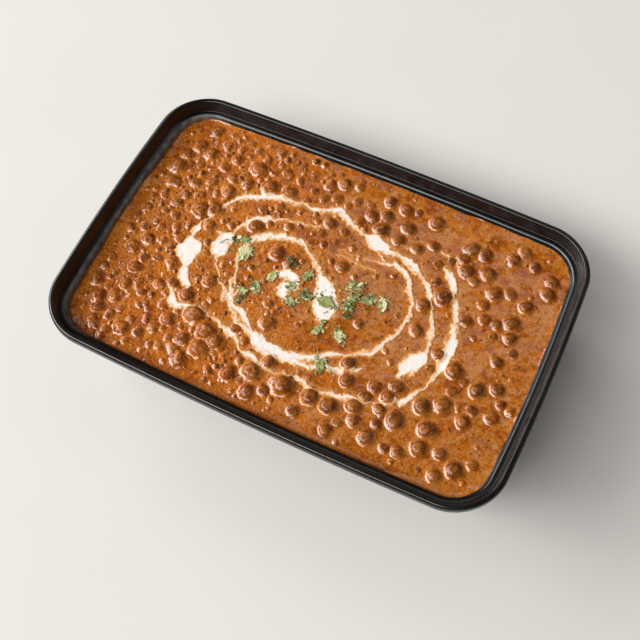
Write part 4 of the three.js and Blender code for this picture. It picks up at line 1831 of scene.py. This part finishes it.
@dataclass
class Coriander:
    """Chopped coriander: torn leaves in loose piles, fine scraps round them and bits of stem."""

    surface: StewSurface
    seed: int = 7
    around: int = 26
    rings: tuple[float, ...] = (0.3, 0.58, 0.82, 1.0)
    thickness: float = 0.2
    whole: Tearing = Tearing(0.2, 0.35, 3, 0.3)
    scrap: Tearing = Tearing(0.5, 0.6, 2, 0.4)
    more_lobes: int = 3
    whole_lift: float = 0.12
    scraps_each: int = 6
    scrap_reach: Pair = (0.45, 1.05)
    scrap_share: Pair = (0.28, 0.56)
    scrap_width: Pair = (0.4, 0.8)
    scrap_lift: Pair = (0.15, 0.6)
    scrap_shade: Pair = (-0.35, 0.3)
    first_scraps: int = 3
    first_reach: Pair = (0.8, 1.1)
    first_share: float = 0.5
    fold_bend: float = 0.05
    lobe_depth: float = 0.55
    torn_depth: float = 0.6
    torn_blend: Pair = (0.6, 0.2)
    pinch: Pair = (0.28, 0.7)
    edge_ripple: float = 0.10
    ripple_waves: Pair = (2.3, 2.9)
    leaf_gap: float = 0.02
    scrap_count: int = 520
    scrap_bits: FlatBits = FlatBits((0.22, 0.5, 2), (0.9, 0.45, 0.14), (1.4, 0.9, 0.26), 0.6)
    loose_spread: float = 0.42
    loose_shade: Pair = (0.1, 0.9)
    pile_spread: float = 0.6
    pile_shade: Pair = (-0.2, 0.4)
    scrap_height: Pair = (0.05, 0.3)
    stem_radius: float = 0.17
    stem_sides: int = 8
    stem_steps: int = 9
    stem_arch: float = 0.3
    stem_lift: float = 0.1
    dark_piles: tuple = ((-37, 6, 1.4), (-14.5, 6.4, 1.3), (-24, -14.6, 1.6), (-3.6, -3.6, 2.4),
                         (12.4, -1.6, 2.2), (13.4, -5, 1.2), (15.5, 4.4, 2.0), (-12.8, 5.6, 1.6))
    stems: tuple = (
        ((-37.6, 1.2), (-35.6, 2.2), (-33.6, 1.6)), ((-41.4, 2.2), (-40, 3.4), (-39.4, 5)),
        ((-9.4, -8.6), (-7, -9.6), (-4, -11.4)), ((6.8, -9.8), (7.6, -12), (7, -15.4)),
        ((9.4, -20.6), (10.4, -21.8), (10.8, -23.4)), ((13, -22.4), (15.6, -25.2), (17.6, -26.8)),
        ((14.6, 1.6), (17.2, 2.6), (20.4, 2.2)), ((9.4, 4.6), (11.4, 4), (13.6, 4.8)),
        ((-22.6, -6), (-20.4, -6.6), (-19, -8.6)), ((-8.6, 1.6), (-6.8, 4), (-6.4, 6.4)),
        ((20.4, 7), (22.6, 6.2), (25.2, 6.4)),
    )

    def blades(self) -> list[Blade]:
        """Return the scraps of leaf, a few for each place where a leaf lies."""
        stream = RandomStream(self.seed)
        first = LEAF_SPOTS[0]
        found = [Blade(first.x, first.y, first.length, first.width, math.radians(first.turn),
                       tilt=0.06, fold=0.22, lift=0.15, shade=first.shade, lobes=2,
                       ragged=0.05)]
        whole, scrap = self.whole, self.scrap
        for number, spot in enumerate(LEAF_SPOTS):
            turn = math.radians(spot.turn)
            if number:
                found.append(Blade(
                    spot.x, spot.y, spot.length, spot.width, turn,
                    stream.between(-whole.tilt, whole.tilt),
                    stream.between(-whole.fold, whole.fold), self.whole_lift, spot.shade,
                    whole.lobes + int(self.more_lobes * stream.next()), whole.ragged))
            count = self.scraps_each if number else self.first_scraps
            for _ in range(count):
                angle = stream.next() * 2 * math.pi
                reach = stream.between(*(self.scrap_reach if number else self.first_reach))
                along = reach * math.cos(angle) * spot.length / 2
                across = reach * math.sin(angle) * spot.width / 2
                share = 1.0 if number else self.first_share
                size = stream.between(*self.scrap_share) * share * spot.length
                found.append(Blade(
                    spot.x + along * math.cos(turn) - across * math.sin(turn),
                    spot.y + along * math.sin(turn) + across * math.cos(turn),
                    size, size * stream.between(*self.scrap_width), stream.next() * math.pi,
                    stream.between(-scrap.tilt, scrap.tilt),
                    stream.between(-scrap.fold, scrap.fold),
                    stream.between(*self.scrap_lift),
                    spot.shade + stream.between(*self.scrap_shade),
                    scrap.lobes + int(self.more_lobes * stream.next()), scrap.ragged))
        return found

    def blade_points(self, blade: Blade, rng: np.random.Generator) -> tuple[Array, Array]:
        """Return a scrap's points, its middle first and then ring by ring.

        Args:
            blade: The scrap.
            rng: Draws its torn edge.

        Returns:
            Places, with the height above what it lies on, and the distance from its vein.
        """
        angles = np.arange(self.around) / self.around * 2 * math.pi
        phase = rng.uniform(0, 2 * math.pi)
        torn = rng.uniform(-1, 1, self.around)
        own, beside = self.torn_blend
        torn = own * torn + beside * np.roll(torn, 1) + beside * np.roll(torn, -1)
        lobed = self.lobe_depth * np.cos(blade.lobes * angles + phase)
        edge = 1 + blade.ragged * (lobed + self.torn_depth * torn)
        depth, power = self.pinch
        edge *= 1 - depth * (1 - blade.ragged) * np.abs(np.sin(2 * angles)) ** power
        along = [np.zeros(1)]
        across = [np.zeros(1)]
        for ring in self.rings:
            along.append(ring * edge * np.cos(angles) * blade.length / 2)
            across.append(ring * edge * np.sin(angles) * blade.width / 2)
        u = np.concatenate(along)
        v = np.concatenate(across)
        waves = np.sin(self.ripple_waves[0] * u + phase) * np.cos(self.ripple_waves[1] * v - phase)
        z = blade.lift + blade.fold * np.abs(v) + blade.tilt * u + self.edge_ripple * waves
        z += self.fold_bend * blade.fold * u ** 2
        x = blade.x + u * math.cos(blade.turn) - v * math.sin(blade.turn)
        y = blade.y + u * math.sin(blade.turn) + v * math.cos(blade.turn)
        return np.column_stack((x, y, z)), np.abs(v) / (blade.width / 2)

    def build_leaves(self) -> Piece:
        """Make and dress the leaves."""
        rng = np.random.default_rng(self.seed)
        per_side = 1 + self.around * len(self.rings)
        blades = self.blades()
        laid = [self.blade_points(blade, rng) for blade in blades]
        flat = np.vstack([spots for spots, _ in laid])
        grounds = self.surface.height(flat[:, 0], flat[:, 1]).reshape(len(blades), per_side)
        points: list[Array] = []
        faces: list[tuple[int, ...]] = []
        for number, ((spots, _), ground) in enumerate(zip(laid, grounds)):
            rest = 0.5 * ground + 0.5 * np.max(ground)
            spots[:, 2] = np.maximum(spots[:, 2], self.leaf_gap) + rest
            under = spots - (0.0, 0.0, self.thickness)
            points.append(np.vstack((spots, under)))
            faces += self.blade_faces(2 * per_side * number, per_side)
        veins = [np.tile(vein, 2) for _, vein in laid]
        shades = [np.full(2 * per_side, blade.shade) for blade in blades]
        piece = make_piece("coriander_leaves", np.vstack(points), faces)
        paint(piece, "vein", np.concatenate(veins))
        paint(piece, "shade", np.concatenate(shades))
        dress(piece, Herb().build())
        names = [f"coriander_{number:02d}" for number in range(1, len(LEAF_SPOTS) + 1)]
        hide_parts(*names)
        return piece

    def blade_faces(self, start: int, per_side: int) -> list[tuple[int, ...]]:
        """Return the faces of one scrap, both sides and the edge between them.

        Args:
            start: Number of its first point.
            per_side: Points on each side.

        Returns:
            Faces that point outwards.
        """
        faces: list[tuple[int, ...]] = []
        top, under = start, start + per_side
        last = len(self.rings) - 1
        for step in range(self.around):
            after = (step + 1) % self.around
            faces.append((top, top + 1 + step, top + 1 + after))
            faces.append((under, under + 1 + after, under + 1 + step))
            for ring in range(last):
                low, high = 1 + ring * self.around, 1 + (ring + 1) * self.around
                cell = (low + step, high + step, high + after, low + after)
                faces.append(tuple(top + corner for corner in cell))
                faces.append(tuple(under + corner for corner in (cell[0], *cell[:0:-1])))
            rim = 1 + last * self.around
            faces.append((top + rim + step, under + rim + step, under + rim + after,
                          top + rim + after))
        return faces

    def build_scraps(self) -> Piece:
        """Make and dress the fine scraps round the leaves and in dark piles."""
        rng = np.random.default_rng(self.seed + 10)
        loose = self.scrap_count * 3 // 5
        leaf = rng.integers(0, len(LEAF_SPOTS), loose)
        middle = np.array([(spot.x, spot.y) for spot in LEAF_SPOTS])[leaf]
        spread = np.array([spot.length for spot in LEAF_SPOTS])[leaf] * self.loose_spread
        places = middle + rng.normal(size=(loose, 2)) * spread[:, None]
        shade = rng.uniform(*self.loose_shade, loose)
        piles = np.array(self.dark_piles)
        pile = rng.integers(0, len(piles), self.scrap_count - loose)
        heap = rng.normal(size=(len(pile), 2)) * piles[pile, 2:] * self.pile_spread
        heap += piles[pile, :2]
        places = np.vstack((places, heap))
        shade = np.concatenate((shade, rng.uniform(*self.pile_shade, len(pile))))
        sizes, turns = self.scrap_bits.draw(rng, len(places))
        z = self.surface.height(places[:, 0], places[:, 1])
        z += rng.uniform(*self.scrap_height, len(places))
        bodies = RoundedBodies("coriander_scraps", Herb(name="coriander_scrap").build(),
                               Slot.CORIANDER, detail=2, roughen=0.3, roughen_size=0.45, seed=8)
        piece = bodies.build(np.column_stack((places, z)), sizes, turns, shade)
        paint(piece, "vein", np.ones(len(piece.data.vertices)))
        return piece

    @staticmethod
    def stem_tree() -> Tree:
        """Return a tree that runs a round stem along each line of the mesh."""
        tree, board, given = start_tree("stem_along_line", {"Radius": "Float", "Sides": "Int"})
        path = board.step("GeometryNodeMeshToCurve", {0: given["Geometry"]})
        ring = board.step("GeometryNodeCurvePrimitiveCircle",
                          {"Resolution": given["Sides"], "Radius": given["Radius"]})
        tube = board.step("GeometryNodeCurveToMesh",
                          {"Curve": path, "Profile Curve": ring, "Fill Caps": True})
        end_tree(board, tube, given["Finish"])
        return tree

    def build_stems(self) -> Piece:
        """Make and dress the bits of stem."""
        share = np.linspace(0, 1, self.stem_steps)[:, None]
        lines: list[Array] = []
        for number, stem in enumerate(self.stems):
            first, middle, last = (np.array(point, dtype=float) for point in stem)
            line = (1 - share) ** 2 * first + 2 * share * (1 - share) * middle + share ** 2 * last
            ground = self.surface.height(line[:, 0], line[:, 1])
            arch = self.stem_arch * np.sin(share[:, 0] * math.pi) * (1 + number % 3)
            rest = 0.5 * (ground + ground.max()) + self.stem_lift
            lines.append(np.column_stack((line, rest + arch)))
        count = len(self.stems) * self.stem_steps
        edges = [(i, i + 1) for i in range(count - 1) if (i + 1) % self.stem_steps]
        piece = make_piece("coriander_stems", np.vstack(lines), [], edges)
        material = Herb(name="coriander_stem", middle=(0.22, 0.28, 0.10)).build()
        run_tree(piece, self.stem_tree(), {
            "Radius": self.stem_radius * MM,
            "Sides": self.stem_sides,
            "Finish": material,
        })
        count = len(piece.data.vertices)
        paint(piece, "vein", np.ones(count))
        paint(piece, "shade", np.linspace(0.3, 0.8, count))
        dress(piece, material)
        return piece


# ---- Studio ----


def stand(name: str, data: bpy.types.ID, right: Array, up: Array, place: Array) -> Piece:
    """Put a lamp or a camera in the scene, turned so that its own X and Y are right and up."""
    thing = add_object(name, data)
    pose = Matrix(np.column_stack((right, up, np.cross(right, up))).tolist()).to_4x4()
    pose.translation = tuple(place)
    thing.matrix_world = pose
    return thing


@dataclass(frozen=True)
class SoftLight:
    """A flat lamp that faces the dish: where it stands, its sizes and its power."""

    name: str
    azimuth: float
    elevation: float
    wide: float
    tall: float
    power: float
    distance: float = 3.5
    colour: Colour = (1.0, 0.985, 0.96)

    def build(self) -> None:
        """Make the lamp."""
        data = bpy.data.lights.new(self.name, "AREA")
        data.shape = "RECTANGLE"
        data.size = self.wide
        data.size_y = self.tall
        data.energy = self.power
        data.color = self.colour
        tilt = math.radians(self.elevation)
        turn = math.radians(self.azimuth)
        level = math.cos(tilt)
        where = np.array([math.cos(turn) * level, math.sin(turn) * level, math.sin(tilt)])
        side = np.array([-math.sin(turn), math.cos(turn), 0.0])
        stand(self.name, data, side, np.cross(where, side), where * self.distance)


@dataclass(frozen=True)
class Studio:
    """Floor, light and camera."""

    floor_half: float = 1600.0
    floor_level: float = -0.1
    world: Colour = (1.0, 0.88, 0.76)
    world_strength: float = 0.045
    camera_place: Triple = (0.0773, -0.1357, 0.3335)
    camera_right: Triple = (0.8980, 0.4388, -0.0319)
    camera_up: Triple = (-0.3834, 0.8162, 0.4323)
    lens: float = 53.68
    sensor: float = 36.0
    nearest_seen: float = 0.01
    panels: tuple = ((150.0, 27.0, 21.0), (170.0, 21.0, 34.0), (191.0, 29.0, 54.0),
                     (214.0, 37.0, 61.0), (240.0, 46.0, 44.0), (268.0, 52.0, 31.0))
    panel_size: float = 1.3
    fills: tuple[SoftLight, ...] = (
        SoftLight("weak_fill", 30.0, 30.0, 2.6, 2.2, 4.0),
        SoftLight("low_fill", 72.0, 22.0, 1.3, 1.0, 1.6),
        SoftLight("high_fill", 100.0, 58.0, 1.6, 1.1, 4.4),
    )

    def build_floor(self) -> None:
        """Make the floor."""
        signs = ((-1, -1), (1, -1), (1, 1), (-1, 1))
        half = self.floor_half
        corners = [(x * half, y * half, self.floor_level) for x, y in signs]
        floor = make_piece("studio_floor", corners, [(0, 1, 2, 3)])
        floor.data.materials.append(PaleFloor().build())

    def build_world(self) -> None:
        """Make the even light all round."""
        scene = bpy.context.scene
        scene.world = bpy.data.worlds.new("studio_world")
        scene.world.use_nodes = True
        background = scene.world.node_tree.nodes["Background"]
        background.inputs["Color"].default_value = (*self.world, 1.0)
        background.inputs["Strength"].default_value = self.world_strength
        scene.view_settings.view_transform = "Standard"
        scene.view_settings.look = "None"

    def build_camera(self) -> None:
        """Make the camera."""
        data = bpy.data.cameras.new("camera")
        data.sensor_width = self.sensor
        data.sensor_fit = "HORIZONTAL"
        data.lens = self.lens
        data.clip_start = self.nearest_seen
        right = np.array(self.camera_right) / np.linalg.norm(self.camera_right)
        up = np.array(self.camera_up)
        up -= right * (up @ right)
        up /= np.linalg.norm(up)
        bpy.context.scene.camera = stand("camera", data, right, up, self.camera_place)

    def build(self) -> None:
        """Make the floor, the lights and the camera."""
        self.build_floor()
        self.build_world()
        for number, (azimuth, elevation, power) in enumerate(self.panels, start=1):
            SoftLight(f"soft_panel_{number}", azimuth, elevation, self.panel_size,
                      self.panel_size, power).build()
        for fill in self.fills:
            fill.build()
        self.build_camera()


def report(piece: Piece) -> None:
    """Log a piece's name and how many faces it has."""
    LOG.info("%s: %d faces", piece.name, len(piece.data.polygons))


def main() -> None:
    """Build the dish, the stew and what lies on it, then the studio."""
    logging.basicConfig(level=logging.INFO, format="%(name)s %(message)s")
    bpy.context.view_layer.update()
    Studio().build()
    tub = Tub()
    report(tub.build())
    strokes = Strokes()
    surface = StewSurface(tub.shape, LentilBed(strokes).lay(), strokes)
    stew = Stew(surface)
    for half in stew.build():
        report(half)
    report(stew.build_cream())
    report(Lentils(surface).build())
    crumbs = Crumbs(surface)
    report(crumbs.build_crumbs())
    report(crumbs.build_specks())
    coriander = Coriander(surface)
    report(coriander.build_leaves())
    report(coriander.build_scraps())
    report(coriander.build_stems())


if __name__ == "__main__":
    main()
